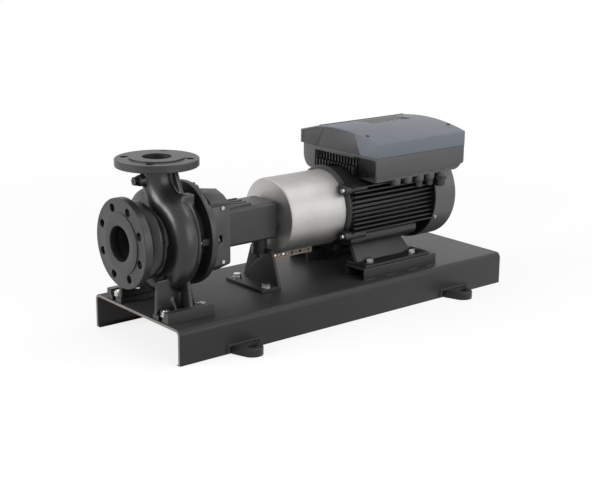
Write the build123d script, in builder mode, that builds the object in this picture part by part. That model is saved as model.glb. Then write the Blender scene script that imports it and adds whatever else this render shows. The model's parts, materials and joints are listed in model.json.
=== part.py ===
from build123d import *
import os
from math import atan2, cos, degrees, radians, sin, sqrt

# Centrifugal pump set: end-suction volute pump, bearing bracket, guarded coupling and motor with a
# frequency converter, on a bent-plate base frame. Millimetres, +X from suction flange to motor fan,
# +Z up, origin on the floor under the middle of the set.

# Base frame, an upside-down channel bent from one plate
frame_length = 1000.0
frame_width = 340.0
frame_height = 80.0
frame_plate = 6.0
frame_bend = 14.0  # outer bend radius
suction_overhang = 36.0  # suction flange face in front of the frame

# Anchor lugs welded to the frame's sides
lug_first = 170.0  # first pair of holes from the frame's front end
lug_spacing_x = 660.0
lug_spacing_y = 400.0
lug_hole = 24.0
lug_edge = 25.0  # hole centre to the rounded tip
lug_thickness = 19.0
lug_root = 94.0
lug_round = 3.0
seat_gap = 0.3  # between curved faces that only touch

# Volute pump, sizes of the standard 80-65-125 end-suction pump
pump_height = 160.0  # feet to shaft axis
suction_reach = 100.0  # suction face to discharge axis
discharge_reach = 180.0  # shaft axis to discharge face
wall = 7.0
raised_face = 3.0

suction_bore = 80.0
suction_flange_od = 200.0
suction_flange_thickness = 22.0
suction_face_od = 138.0
suction_pcd = 160.0
suction_holes = 8
suction_neck_od = 128.0

discharge_bore = 65.0
discharge_flange_od = 185.0
discharge_flange_thickness = 20.0
discharge_face_od = 122.0
discharge_pcd = 145.0
discharge_holes = 4
flange_hole = 19.0

drum_od = 172.0  # stepped drum behind the suction flange
drum_front = -63.0  # places along the shaft, from the discharge axis
drum_rear = -44.0
groove_depth = 9.0
volute_front = -36.0
casing_rear = 34.0
barrel_od = 222.0
rim_od = 236.0
rim_width = 10.0

impeller_od = 139.0
impeller_place = -4.0  # middle of the impeller's outlet
impeller_outlet = 22.0
impeller_vanes = 6
impeller_shroud = 4.0
impeller_clearance = 5.0
volute_reach_side = 134.0  # shaft axis to the volute's outside, on the throat's side
volute_reach_bottom = 126.0
volute_reach_far = 107.0
volute_reach_top = 99.0
volute_nose = 33.0  # radius of the volute's rounded outer edge
volute_last_share = 0.9  # radius of the last quarter, of the reach it has to cover
throat_place = 88.0  # shaft axis to the middle of the neck's foot
neck_wall = 5.0
neck_straight = 12.0  # straight neck under the discharge flange
neck_flare = 9.0  # flare between the neck and the flange
neck_boss_od = 26.0
neck_boss_reach = 50.0  # discharge axis to the boss face, towards the suction side
neck_boss_drop = 48.0  # discharge face to the boss axis
drain_boss_drop = 96.0  # shaft axis to the drain boss face
drain_place = -53.0
plug_across = 17.0
plug_length = 11.0
rim_pad_length = 33.0
rim_pad_width = 25.0
rim_pad_height = 36.0
rim_pad_middle = 26.0  # from the discharge axis
rim_pad_angle = 57.0  # above the horizontal, on the right
rim_pad_reach = 125.0
neck_web = 8.0  # web between the neck and the rim pad

foot_length = 122.0
foot_width = 58.0
foot_height = 24.5
foot_pitch_y = 188.0  # foot centre line to foot centre line
foot_pitch_x = 95.0  # bolt to bolt in one foot
foot_slot = 15.0
foot_web = 11.0
foot_rib = 9.0
main_rib = 7.0  # from the discharge axis
low_rib = -17.0
low_rib_height = 20.0
web_rear = 45.0

# Casing cover, bearing bracket and bearing housing
cover_gap = 28.0  # between casing rim and bracket flange
cover_od = 176.0
cover_spigot = 12.0
jack_lug = 17.0
jack_lug_reach = 107.0
bracket_flange_od = 236.0
bracket_flange_thickness = 14.0
lantern_length = 52.0
lantern_half_width = 90.0
lantern_flat = 42.0  # half width of its flat top and bottom
lantern_top = 98.0
lantern_top_corner = 74.0
lantern_bottom_corner = -64.0
lantern_bottom = -90.0
lantern_round = 4.0
lantern_wall = 9.0
lantern_window_height = 104.0
lantern_rear_wall = 10.0
cover_sheet = 3.0
cover_sheet_height = 132.0

housing_length = 172.0
housing_half_width = 44.0
housing_half_height = 44.0
housing_round = 8.0
housing_rib_height = 5.0
housing_rib_share = 0.62  # of the housing's length
housing_ribs = 4
housing_boss_od = 37.0
housing_boss_drop = 40.5  # below the housing
housing_boss_back = 19.0  # from the housing's rear face to the boss axis
bearing_cover_od = 76.0
bearing_cover_length = 14.0

# Shafts and coupling
pump_shaft = 24.0
shaft_clearance = 0.5
shaft_reach = 360.0  # discharge axis to the pump shaft's end
shaft_gap = 4.0
coupling_od = 110.0
hub_od = 62.0
spider_width = 14.0
hub_flange = 20.0

# Support foot, bent from sheet
support_sheet = 7.0
support_back = 8.0  # from the housing's rear face to the plate's rear
support_base = 54.0
support_top = 72.0  # shaft axis to the plate's upper edge
support_half_top = 39.0
support_half_bottom = 70.0
support_hole = 8.0
support_hole_side = 9.0
support_hole_drop = 97.0  # shaft axis to the hole

# Coupling guard, rolled from stainless sheet
guard_start = 307.0
guard_od = 181.0
guard_sheet = 1.5
guard_disc_width = 14.0
guard_lap = 5.0  # front face to the seam between disc and shell
guard_bead = 2.5
guard_seam_drop = 18.0
guard_seam_start = 10.0
guard_seam_length = 124.0
guard_seam_hole = 8.0
guard_seam_small_hole = 4.0
guard_seam_pitch = 25.5
guard_seam_holes = 5

# Motor, sizes of the standard 132 short frame
motor_shaft = 38.0
motor_shaft_end = 80.0
shoulder_to_bolt = 89.0
motor_bolt_x = 140.0
motor_bolt_y = 216.0
shield_back = 28.0  # shoulder to the end shield's face, where the guard ends
shield_length = 12.0
shield_boss_reach = 12.0
shield_od = 200.0
shield_cone = 6.0  # cone from the guard's edge out to the shield's rim
shield_spigot_od = 130.0
shield_boss = 22.0
shield_boss_place = 56.0
shield_boss_side = 93.0
body_boss_length = 42.0
motor_body_length = 261.0
motor_body_od = 184.0
fin_reach = 107.0  # axis to fin tip, sideways
fin_thickness = 3.0
fin_pitch = 11.0
side_fins = 11
lower_fins = 5
bottom_fins = 7
pad_half_width = 96.0
pad_top = -52.0
pad_bottom = -84.0
pad_length = 216.0
fan_cover_od = 236.0
fan_cover_length = 75.0
fan_cover_sheet = 3.0
fan_cover_round = 9.0
rear_shield_length = 10.0
grille_rings = 4
grille_open_share = 0.55  # slot width in one ring pitch
fan_od = 196.0
fan_width = 34.0
fan_blades = 7
fan_bore_share = 0.7
grille_bar = 9.0

# Rails and motor feet
rail_height = 28.0
rail_width = 69.0
rail_length = 241.0
rail_sheet = 5.0
rail_inner = 71.0  # axis to the rail's inner side
rail_lead = 45.0  # rail's front end to the motor's first bolt
motor_foot_plate = 6.0
motor_foot_length = 212.0
motor_foot_lead = 36.0
motor_bolt_hole = 12.0
foot_web_length = 180.0  # at the plate
foot_web_top_length = 158.0
foot_web_lean = 22.0
foot_web_top = 76.0  # axis to the web's outer side at the top
foot_web_sheet = 10.0

# Frequency converter on the motor
drive_length = 297.0
drive_half_width = 141.0
drive_front = 520.0  # from the discharge axis
drive_under = 73.0  # shaft axis to the converter's lower edge
housing_depth = 58.0  # lower edge to the seam under the lid
lid_side = 36.0  # seam to the lid's upper edge
lid_rise = 19.0  # upper edge to the crown
drive_wall = 5.0
drive_round = 4.0
drive_corner = 32.0
drive_turn_side = 90.0  # where the housing's front turns back towards the left side
drive_turn = 11.0
drive_band = 14.0  # set-back band along the lower edge of the right side
drive_band_depth = 5.0
arch_gap = 2.0  # between the fan cover and the arch over it
front_arch = 96.0  # radius of the arch ahead of the fan cover
pedestal_gap = 2.0  # top of the arch to the flat seat on the pedestal
pedestal_length = 150.0
pedestal_width = 90.0
pedestal_round = 14.0
pedestal_shift = 10.0
heatsink_fins = 13
heatsink_fin = 4.0
heatsink_inset = 1.0
heatsink_step = 14.0  # the upper fins stand back by this
heatsink_step_drop = 31.0  # seam to the lower fins' upper end
heatsink_length = 44.0
end_panel = 4.0
end_panel_gap = 1.0
panel_left = 134.0  # sideways from the middle
panel_split_top = 50.0
panel_split_bottom = 77.0
panel_right_top = -61.0
panel_right_bottom = -85.0
panel_top_margin = 2.5
top_strip_side = 109.0
top_strip_width = 9.0
top_strip_front = 12.0
top_strip_floor = 4.0  # lid's upper edge to the floor of the strip's groove
top_strip_height = 10.0
display_length = 130.0
display_width = 58.0
display_depth = 3.0
display_place = 176.0  # from the converter's front end to the middle of the display
display_side = 24.0
window_left = 84.0
window_right = -58.0
window_drop = 9.0  # seam to the top of the heatsink's window

gland_places = (153.0, 189.0, 229.0)  # from the converter's front end
gland_sizes = (20.0, 20.0, 27.0)
gland_hexagon = 0.56  # shares of a gland's size
gland_hexagon_length = 0.3
gland_nut_length = 0.62
gland_round = 0.18
blank_places = (75.0, 114.0)
entry_row = 126.0  # axis to the row of cable entries
entry_boss = 26.0
entry_boss_drop = 12.0
blank_height = 4.0

# Places worked out from the sizes above
frame_front = (suction_overhang - frame_length) / 2
pump_x = frame_front - suction_overhang + suction_reach
axis_z = frame_height + pump_height
casing_back_x = pump_x + casing_rear
bracket_x = casing_back_x + cover_gap
lantern_x = bracket_x + bracket_flange_thickness
housing_x = lantern_x + lantern_length
housing_end_x = housing_x + housing_length
guard_x = pump_x + guard_start
shaft_end_x = pump_x + shaft_reach
motor_shaft_x = shaft_end_x + shaft_gap
shoulder_x = motor_shaft_x + motor_shaft_end
shield_x = shoulder_x + shield_back
guard_end_x = shield_x - seat_gap
body_x = shield_x + shield_length
body_end_x = body_x + motor_body_length
fan_cover_x = body_end_x
rail_top = frame_height + rail_height
foot_bolt_x = shoulder_x + shoulder_to_bolt
rail_x = foot_bolt_x - rail_lead
motor_foot_x = foot_bolt_x - motor_foot_lead
drive_x = pump_x + drive_front
drive_end_x = drive_x + drive_length
drive_bottom = axis_z + drive_under
drive_seam = drive_bottom + housing_depth
drive_edge = drive_seam + lid_side
drive_crown = drive_edge + lid_rise
window_top = drive_seam - window_drop
base_circle = impeller_od / 2 + impeller_clearance
cover_arch = fan_cover_od / 2 + arch_gap
pedestal_top = axis_z + front_arch + pedestal_gap


def across(x):
    """Plane square to the shaft at x, seen along +X: first axis +Y, second axis +Z, origin on the shaft."""
    return Plane(origin=(x, 0, axis_z), x_dir=(0, 1, 0), z_dir=(1, 0, 0))


def along():
    """Plane through the shaft axis, for profiles turned about it: first axis +X, second axis +Z."""
    return Plane(origin=(0, 0, axis_z), x_dir=(1, 0, 0), z_dir=(0, -1, 0))


def turned(points):
    """Closed profile in the plane along the shaft, turned once about the shaft axis."""
    with BuildSketch(along()) as profile:
        with BuildLine():
            Polyline(*points, close=True)
        make_face()
    return revolve(profile.sketch, axis=Axis((0, 0, axis_z), (1, 0, 0)), mode=Mode.PRIVATE)


# Base frame
with BuildPart() as base_frame:
    with BuildSketch(Plane.YZ.offset(frame_front)):
        with Locations((0, frame_height / 2)):
            Rectangle(frame_width, frame_height)
    extrude(amount=frame_length)
    fillet(base_frame.edges().filter_by(Axis.X).group_by(Axis.Z)[-1], radius=frame_bend)
    with BuildSketch(Plane.YZ.offset(frame_front)) as inner_profile:
        with Locations((0, (frame_height - frame_plate) / 2)):
            Rectangle(frame_width - 2 * frame_plate, frame_height - frame_plate)
        fillet(inner_profile.vertices().group_by(Axis.Z)[-1], radius=frame_bend - frame_plate)
    extrude(amount=frame_length, mode=Mode.SUBTRACT)


# Anchor lugs
def anchor_lug(x, side):
    """One lug with its hole at x, on the frame's left (+1) or right (-1) side."""
    hole_y = side * lug_spacing_y / 2
    root_y = side * frame_width / 2
    with BuildPart() as lug:
        with BuildSketch():
            with Locations((x, hole_y)):
                Circle(lug_edge)
            with Locations((x, root_y + side * lug_round / 2)):
                Rectangle(lug_root, lug_round)
            make_hull()
            with Locations((x, hole_y)):
                Circle(lug_hole / 2, mode=Mode.SUBTRACT)
        extrude(amount=lug_thickness)
        rim = lug.faces().sort_by(Axis.Z)[-1].outer_wire().edges()
        fillet(rim.filter_by(lambda edge: abs(edge.center().Y - root_y) > lug_round), radius=lug_round)
    return lug.part


# Volute casing
def quarter(centre, radius, nose, inner, first_angle):
    """A quarter turn about centre (y, z from the shaft) of the volute's section, which ends in a round nose."""
    axis = Axis((0, centre[0], axis_z + centre[1]), (1, 0, 0))
    middle = pump_x + impeller_place
    section_plane = Plane(
        origin=(0, centre[0], axis_z + centre[1]),
        x_dir=(1, 0, 0),
        z_dir=(0, -sin(radians(first_angle)), cos(radians(first_angle))),
    )
    with BuildPart() as made:
        with BuildSketch(section_plane):
            with Locations((middle, (inner + radius - nose) / 2)):
                Rectangle(2 * nose, radius - nose - inner)
            with Locations((middle, radius - nose)):
                Circle(nose)
        revolve(axis=axis, revolution_arc=90)
    return made.part


def volute(skin):
    """Spiral body made of four quarter turns about shifted centres, larger than the passage by skin."""
    nose = volute_nose - wall + skin
    bottom = volute_reach_bottom - wall + skin
    side = volute_reach_side - wall + skin
    far = volute_reach_far - wall + skin
    top = volute_reach_top - wall + skin
    shift_side = bottom - side
    far_radius = far - shift_side
    far_drop = far_radius - bottom
    top_radius = top - far_drop
    top_shift = far - top_radius
    last_radius = (top + top_shift) * volute_last_share
    return [
        quarter((shift_side, 0), bottom, nose, 0, 180),
        quarter((shift_side, far_drop), far_radius, nose, 0, 270),
        quarter((top_shift, far_drop), top_radius, nose, 0, 0),
        quarter((top_shift, top - last_radius), last_radius, nose, 0, 90),
    ]


def neck(radius):
    """S-bend from the throat at the shaft's height to the straight stretch under the flange."""
    rise = discharge_reach - discharge_flange_thickness - neck_straight
    foot = (-throat_place, axis_z)
    middle = (-throat_place / 2, axis_z + rise / 2)
    head = (0, axis_z + rise)
    bend = 2 * degrees(atan2(throat_place, rise))
    bend_radius = rise / 2 / sin(radians(bend))
    with BuildPart() as tube:
        with BuildLine(Plane(origin=(pump_x, 0, 0), x_dir=(0, 1, 0), z_dir=(1, 0, 0))):
            RadiusArc(foot, middle, bend_radius)
            RadiusArc(middle, head, -bend_radius)
        with BuildSketch(Plane(origin=(pump_x, foot[0], foot[1]), x_dir=(1, 0, 0))):
            Circle(radius)
        sweep()
    return tube.part


def flange_disc(plane, od, thickness, face_od, pcd, count):
    """Flange with its raised face at the plane, growing against the plane's normal."""
    with BuildPart() as disc:
        with BuildSketch(plane.offset(-thickness)):
            Circle(od / 2)
        extrude(amount=thickness - raised_face)
        fillet(disc.edges().filter_by(GeomType.CIRCLE), radius=1.5)
        with BuildSketch(plane.offset(-raised_face)):
            Circle(face_od / 2)
        extrude(amount=raised_face)
        with BuildSketch(plane.offset(-thickness)):
            with PolarLocations(pcd / 2, count, start_angle=180 / count):
                Circle(flange_hole / 2)
        extrude(amount=thickness, mode=Mode.SUBTRACT)
    return disc.part


suction_plane = Plane(origin=(pump_x - suction_reach, 0, axis_z), x_dir=(0, 1, 0), z_dir=(-1, 0, 0))
discharge_plane = Plane(origin=(pump_x, 0, axis_z + discharge_reach), x_dir=(1, 0, 0))
suction_disc = flange_disc(
    suction_plane, suction_flange_od, suction_flange_thickness, suction_face_od, suction_pcd, suction_holes
)
discharge_disc = flange_disc(
    discharge_plane,
    discharge_flange_od,
    discharge_flange_thickness,
    discharge_face_od,
    discharge_pcd,
    discharge_holes,
)
flange_back = pump_x - suction_reach + suction_flange_thickness
core_skin = turned(
    [
        (flange_back, 0),
        (flange_back, suction_neck_od / 2),
        (pump_x + drum_front, drum_od / 2 - wall),
        (pump_x + drum_front + wall / 2, drum_od / 2),
        (pump_x + drum_rear, drum_od / 2),
        (pump_x + drum_rear, drum_od / 2 - groove_depth),
        (pump_x + volute_front, drum_od / 2 - groove_depth),
        (pump_x + volute_front / 2, barrel_od / 2),
        (casing_back_x - rim_width, barrel_od / 2),
        (casing_back_x - rim_width, rim_od / 2 - 1),
        (casing_back_x - rim_width + 1, rim_od / 2),
        (casing_back_x - 1, rim_od / 2),
        (casing_back_x, rim_od / 2 - 1),
        (casing_back_x, 0),
    ]
)
chamber_x = pump_x + impeller_place - impeller_outlet / 2 - impeller_shroud - impeller_clearance
eye_x = chamber_x - impeller_outlet
chamber_hollow = turned(
    [
        (eye_x, 0),
        (eye_x, suction_bore / 2),
        (chamber_x, base_circle),
        (casing_back_x - cover_spigot, base_circle),
        (casing_back_x - cover_spigot, cover_od / 2 - wall),
        (casing_back_x, cover_od / 2 - wall),
        (casing_back_x, 0),
    ]
)


def side_plane(y):
    """Upright plane along the shaft at y: first axis +X, second axis +Z from the floor."""
    return Plane(origin=(0, y, 0), x_dir=(1, 0, 0), z_dir=(0, -1, 0))


def cross_plane(x):
    """Upright plane square to the shaft at x: first axis +Y, second axis +Z from the floor."""
    return Plane(origin=(x, 0, 0), x_dir=(0, 1, 0), z_dir=(1, 0, 0))


def plate(plane, points, thickness):
    """Plate with a straight-sided outline, its middle in the plane."""
    with BuildPart() as made:
        with BuildSketch(plane):
            with BuildLine():
                Polyline(*points, close=True)
            make_face()
        extrude(amount=thickness / 2, both=True)
    return made.part


def round_bar(plane, diameter, length):
    """Round bar that starts at the plane and grows along its normal."""
    with BuildPart() as bar:
        with BuildSketch(plane):
            Circle(diameter / 2)
        extrude(amount=length)
    return bar.part


def casing_foot(side):
    """Slotted foot slab with its web and ribs, on the left (+1) or right (-1)."""
    middle_y = side * foot_pitch_y / 2
    inner_y = middle_y - side * foot_width / 2
    outer_y = middle_y + side * foot_width / 2
    web_y = inner_y + side * foot_web / 2
    low = frame_height + foot_height - 1
    web_top = axis_z - base_circle
    half = foot_pitch_x / 2
    slot_run = (foot_length - foot_pitch_x) / 2
    front = pump_x - foot_length / 2
    with BuildPart() as foot:
        with BuildSketch(Plane.XY.offset(frame_height)):
            with Locations((pump_x, middle_y)):
                RectangleRounded(foot_length, foot_width, foot_rib / 2)
            for end in (-1, 1):
                with Locations((pump_x + end * half, middle_y)):
                    Circle(foot_slot / 2, mode=Mode.SUBTRACT)
                with Locations((pump_x + end * (half + slot_run / 2), middle_y)):
                    Rectangle(slot_run, foot_slot, mode=Mode.SUBTRACT)
        extrude(amount=foot_height)
        web_outline = [
            (front + foot_rib / 2, low),
            (pump_x + web_rear, low),
            (pump_x + web_rear / 2, web_top),
            (front + 2 * foot_rib, web_top),
        ]
        add(plate(side_plane(web_y), web_outline, foot_web))
        front_rib = [
            (inner_y - side * foot_web, low),
            (inner_y + side * foot_rib, low),
            (inner_y + 2 * side * foot_rib, web_top),
            (inner_y - side * foot_web, web_top),
        ]
        add(plate(cross_plane(front + foot_rib / 2), front_rib, foot_rib))
        middle_rib = [
            (inner_y, low),
            (outer_y - side, low),
            (outer_y - side * foot_rib, web_top),
            (inner_y, web_top),
        ]
        add(plate(cross_plane(pump_x + main_rib), middle_rib, foot_rib))
        short_rib = [
            (inner_y, low),
            (middle_y + side * foot_rib / 2, low),
            (inner_y + side * foot_web, low + low_rib_height),
            (inner_y, low + low_rib_height),
        ]
        add(plate(cross_plane(pump_x + low_rib), short_rib, foot_rib))
    return foot.part


neck_boss_z = axis_z + discharge_reach - neck_boss_drop
neck_boss_plane = Plane(
    origin=(pump_x - neck_boss_reach, 0, neck_boss_z), x_dir=(0, 1, 0), z_dir=(1, 0, 0)
)
drain_plane = Plane(origin=(pump_x + drain_place, 0, axis_z - drain_boss_drop), x_dir=(1, 0, 0))
rim_pad_y = -rim_pad_reach * cos(radians(rim_pad_angle))
rim_pad_z = axis_z + rim_pad_reach * sin(radians(rim_pad_angle))
with BuildPart() as volute_casing:
    add(core_skin)
    add(volute(wall))
    add(neck(discharge_bore / 2 + neck_wall))
    add(suction_disc)
    add(discharge_disc)
    neck_top = discharge_plane.offset(-discharge_flange_thickness)
    add(round_bar(neck_top.offset(-neck_straight), discharge_bore + 2 * neck_wall, neck_straight))
    with Locations(neck_top.offset(-neck_flare / 2)):
        Cone(discharge_bore / 2 + neck_wall, discharge_bore / 2 + neck_wall + neck_flare, neck_flare)
    add(casing_foot(1))
    add(casing_foot(-1))
    add(round_bar(neck_boss_plane, neck_boss_od, neck_boss_reach - discharge_bore / 2))
    add(round_bar(drain_plane, neck_boss_od, drain_boss_drop - suction_bore / 2 - wall))
    add(round_bar(across(casing_back_x), 2 * volute_reach_side, cover_gap), mode=Mode.SUBTRACT)
    with BuildSketch(Plane.XY.offset(rim_pad_z)):
        with Locations((pump_x + rim_pad_middle, rim_pad_y)):
            RectangleRounded(rim_pad_length, rim_pad_width, foot_rib / 3)
    extrude(amount=-rim_pad_height)
    web_plane = Plane(
        origin=(pump_x, 0, 0),
        x_dir=(rim_pad_middle, rim_pad_y, 0),
        z_dir=(rim_pad_y, -rim_pad_middle, 0),
    )
    pad_run = sqrt(rim_pad_middle**2 + rim_pad_y**2)
    neck_web_outline = [
        (discharge_bore / 2, neck_top.origin.Z),
        (discharge_bore / 2 + neck_wall + neck_flare, neck_top.origin.Z),
        (pad_run, rim_pad_z - 1),
        (pad_run, axis_z + base_circle + wall),
        (discharge_bore / 2, axis_z + base_circle + wall),
    ]
    add(plate(web_plane, neck_web_outline, neck_web))
    add(volute(0), mode=Mode.SUBTRACT)
    add(neck(discharge_bore / 2), mode=Mode.SUBTRACT)
    add(chamber_hollow, mode=Mode.SUBTRACT)
    add(round_bar(suction_plane, suction_bore, pump_x - suction_reach - eye_x), mode=Mode.SUBTRACT)
    add(
        round_bar(discharge_plane, discharge_bore, -discharge_flange_thickness - neck_straight),
        mode=Mode.SUBTRACT,
    )


# Impeller, its nut and the pump shaft
def vane(turn):
    """One curved vane, turned about the shaft."""
    inner = impeller_od / 2 * 0.42
    outer = impeller_od / 2 - 1
    points = []
    for share in (0, 0.5, 1):
        radius = inner + (outer - inner) * share
        angle = radians(turn - 75 * share)
        points.append((radius * cos(angle), radius * sin(angle)))
    front = impeller_x - impeller_outlet / 2
    with BuildPart() as made:
        with BuildSketch(across(front)):
            with BuildLine():
                ThreePointArc(*points)
            trace(line_width=impeller_shroud)
        extrude(amount=impeller_outlet)
    return made.part


impeller_x = pump_x + impeller_place
eye_od = suction_bore - 2 * shaft_clearance - impeller_shroud
half_outlet = impeller_outlet / 2
with BuildPart() as impeller:
    add(
        turned(
            [
                (eye_x, eye_od / 2 - impeller_shroud),
                (eye_x, eye_od / 2),
                (impeller_x - half_outlet - 2 * impeller_shroud, eye_od / 2),
                (impeller_x - half_outlet - impeller_shroud, impeller_od / 2),
                (impeller_x - half_outlet, impeller_od / 2),
                (impeller_x - half_outlet, eye_od / 2 - impeller_shroud),
            ]
        )
    )
    add(
        turned(
            [
                (impeller_x - half_outlet - impeller_shroud, pump_shaft / 2 + seat_gap),
                (impeller_x - half_outlet - impeller_shroud, pump_shaft / 2 + impeller_shroud),
                (impeller_x + half_outlet, eye_od / 2),
                (impeller_x + half_outlet, impeller_od / 2),
                (impeller_x + half_outlet + impeller_shroud, impeller_od / 2),
                (impeller_x + half_outlet + impeller_shroud, pump_shaft / 2 + seat_gap),
            ]
        )
    )
    for n in range(impeller_vanes):
        add(vane(360 * n / impeller_vanes))

nut_x = impeller_x - half_outlet - impeller_shroud
nut_length = pump_shaft / 2
with BuildPart() as impeller_nut:
    with BuildSketch(across(nut_x - nut_length)):
        RegularPolygon(pump_shaft * 0.72, 6)
    extrude(amount=nut_length)
    with BuildSketch(across(nut_x - nut_length)):
        Circle(pump_shaft / 2 - impeller_shroud + seat_gap)
    extrude(amount=nut_length, mode=Mode.SUBTRACT)
    chamfer(impeller_nut.faces().sort_by(Axis.X)[0].outer_wire().edges(), length=1.5)

with BuildPart() as shaft:
    thread_od = pump_shaft - 2 * impeller_shroud
    add(round_bar(across(nut_x - nut_length - 2), thread_od, nut_length + 2))
    add(round_bar(across(nut_x), pump_shaft, shaft_end_x - nut_x))

# Casing cover between the casing and the bearing bracket
shaft_hole = pump_shaft / 2 + shaft_clearance
with BuildPart() as casing_cover:
    add(
        turned(
            [
                (casing_back_x - cover_spigot, shaft_hole),
                (casing_back_x - cover_spigot, cover_od / 2 - wall - seat_gap),
                (casing_back_x, cover_od / 2 - wall - seat_gap),
                (casing_back_x, cover_od / 2),
                (bracket_x, cover_od / 2),
                (bracket_x, shaft_hole),
            ]
        )
    )
    lug_root = cover_od / 2 - jack_lug
    for side in (-1, 1):
        with BuildSketch(across(casing_back_x + cover_gap / 3)):
            with Locations((side * (jack_lug_reach + lug_root) / 2, 0)):
                RectangleRounded(jack_lug_reach - lug_root, jack_lug, jack_lug / 4)
        extrude(amount=cover_gap * 2 / 3)

# Bearing bracket: round flange and eight-sided lantern
def lantern_outline(shrink):
    """Eight-sided outline of the lantern, smaller by shrink all round."""
    corners = [
        (-lantern_half_width, lantern_bottom_corner),
        (-lantern_half_width, lantern_top_corner),
        (-lantern_flat, lantern_top),
        (lantern_flat, lantern_top),
        (lantern_half_width, lantern_top_corner),
        (lantern_half_width, lantern_bottom_corner),
        (lantern_flat, lantern_bottom),
        (-lantern_flat, lantern_bottom),
    ]
    with BuildSketch() as outline:
        Polygon(*corners, align=None)
        if shrink:
            offset(amount=-shrink, kind=Kind.INTERSECTION, mode=Mode.REPLACE)
        else:
            fillet(outline.vertices(), radius=lantern_round)
    return outline.sketch


def corner_bosses():
    """Four bolt bosses at the motor's corners."""
    with BuildSketch() as bosses:
        for side in (-1, 1):
            for level in (-1, 1):
                with Locations((side * shield_boss_side, level * shield_boss_place)):
                    Circle(shield_boss / 2)
                with Locations((side * (shield_boss_side - shield_boss / 2), level * shield_boss_place)):
                    Rectangle(shield_boss, shield_boss)
    return bosses.sketch


with BuildPart() as bearing_bracket:
    with BuildSketch(across(bracket_x)):
        Circle(bracket_flange_od / 2)
    extrude(amount=bracket_flange_thickness)
    fillet(bearing_bracket.edges().filter_by(GeomType.CIRCLE), radius=1)
    with BuildSketch(across(lantern_x)):
        add(lantern_outline(0))
    extrude(amount=lantern_length)
    window_run = lantern_length - lantern_rear_wall
    with BuildSketch(across(lantern_x)):
        add(lantern_outline(lantern_wall))
    extrude(amount=window_run, mode=Mode.SUBTRACT)
    with BuildSketch(side_plane(0)):
        with Locations((lantern_x + window_run / 2, axis_z)):
            Rectangle(window_run, lantern_window_height)
    extrude(amount=lantern_half_width, both=True, mode=Mode.SUBTRACT)
    add(round_bar(across(bracket_x), 2 * shaft_hole, housing_x - bracket_x), mode=Mode.SUBTRACT)


sheet_middle = axis_z + (lantern_top_corner + lantern_bottom_corner) / 2


def window_cover(side):
    """Sheet over the lantern's window on the left (+1) or right (-1)."""
    with BuildPart() as cover:
        with BuildSketch(side_plane(side * (lantern_half_width + cover_sheet / 2))):
            with Locations((lantern_x + lantern_length / 2, sheet_middle)):
                Rectangle(lantern_length, cover_sheet_height)
        extrude(amount=cover_sheet / 2, both=True)
    return cover.part


# Bearing housing with ribs on top and the boss of the support foot below
boss_x = housing_end_x - housing_boss_back
support_x = housing_end_x - support_back - support_sheet / 2
with BuildPart() as bearing_housing:
    with BuildSketch(across(housing_x)):
        Rectangle(2 * housing_half_width, 2 * housing_half_height)
    extrude(amount=housing_length)
    fillet(bearing_housing.edges().filter_by(Axis.X), radius=housing_round)
    fillet(bearing_housing.faces().sort_by(Axis.X)[-1].outer_wire().edges(), radius=housing_round * 0.7)
    rib_pitch = 2 * (housing_half_width - housing_round) / housing_ribs
    rib_length = housing_length * housing_rib_share
    with BuildSketch(Plane.XY.offset(axis_z + housing_half_height - 1)):
        with Locations((housing_x + rib_length / 2, 0)):
            with GridLocations(1, rib_pitch, 1, housing_ribs):
                Rectangle(rib_length, rib_pitch / 3)
    extrude(amount=housing_rib_height + 1)
    with BuildSketch(Plane(origin=(boss_x, 0, axis_z - housing_half_height), x_dir=(1, 0, 0), z_dir=(0, 0, -1))):
        Circle(housing_boss_od / 2)
    extrude(amount=housing_boss_drop)
    with BuildSketch(cross_plane(support_x - support_sheet / 2 - seat_gap)):
        with Locations((0, axis_z - support_top - housing_boss_od / 2)):
            Rectangle(2 * housing_boss_od, housing_boss_od + 2 * seat_gap)
    extrude(amount=housing_boss_od, mode=Mode.SUBTRACT)
    add(round_bar(across(housing_x), 2 * shaft_hole, housing_length), mode=Mode.SUBTRACT)

with BuildPart() as bearing_cover:
    with BuildSketch(across(housing_end_x)):
        Circle(bearing_cover_od / 2)
        Circle(shaft_hole, mode=Mode.SUBTRACT)
    extrude(amount=bearing_cover_length)
    chamfer(bearing_cover.faces().sort_by(Axis.X)[-1].outer_wire().edges(), length=2)

# Support foot behind the housing's boss, which is cut flat there
with BuildPart() as support_foot:
    add(
        plate(
            cross_plane(support_x),
            [
                (-support_half_bottom, frame_height),
                (support_half_bottom, frame_height),
                (support_half_top, axis_z - support_top),
                (-support_half_top, axis_z - support_top),
            ],
            support_sheet,
        )
    )
    with BuildSketch(Plane.XY.offset(frame_height)):
        with Locations((support_x - support_base / 2, 0)):
            Rectangle(support_base, 2 * support_half_bottom)
    extrude(amount=support_sheet)
    with BuildSketch(cross_plane(support_x)):
        with Locations((support_hole_side, axis_z - support_hole_drop)):
            Circle(support_hole / 2)
    extrude(amount=support_sheet, both=True, mode=Mode.SUBTRACT)

# Coupling: two hubs and the ring between them
def coupling_hub(face_x, outwards, bore):
    """Hub with its flange at face_x, reaching back over its shaft; outwards is the way from the ring."""
    plane = Plane(origin=(face_x, 0, axis_z), x_dir=(0, 1, 0), z_dir=(outwards, 0, 0))
    with BuildPart() as hub:
        with BuildSketch(plane):
            Circle(coupling_od / 2)
        extrude(amount=hub_flange)
        with BuildSketch(plane.offset(hub_flange)):
            Circle(hub_od / 2)
        extrude(amount=hub_flange)
        with BuildSketch(plane):
            Circle(bore / 2 + seat_gap)
        extrude(amount=2 * hub_flange, mode=Mode.SUBTRACT)
    return hub.part


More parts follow.
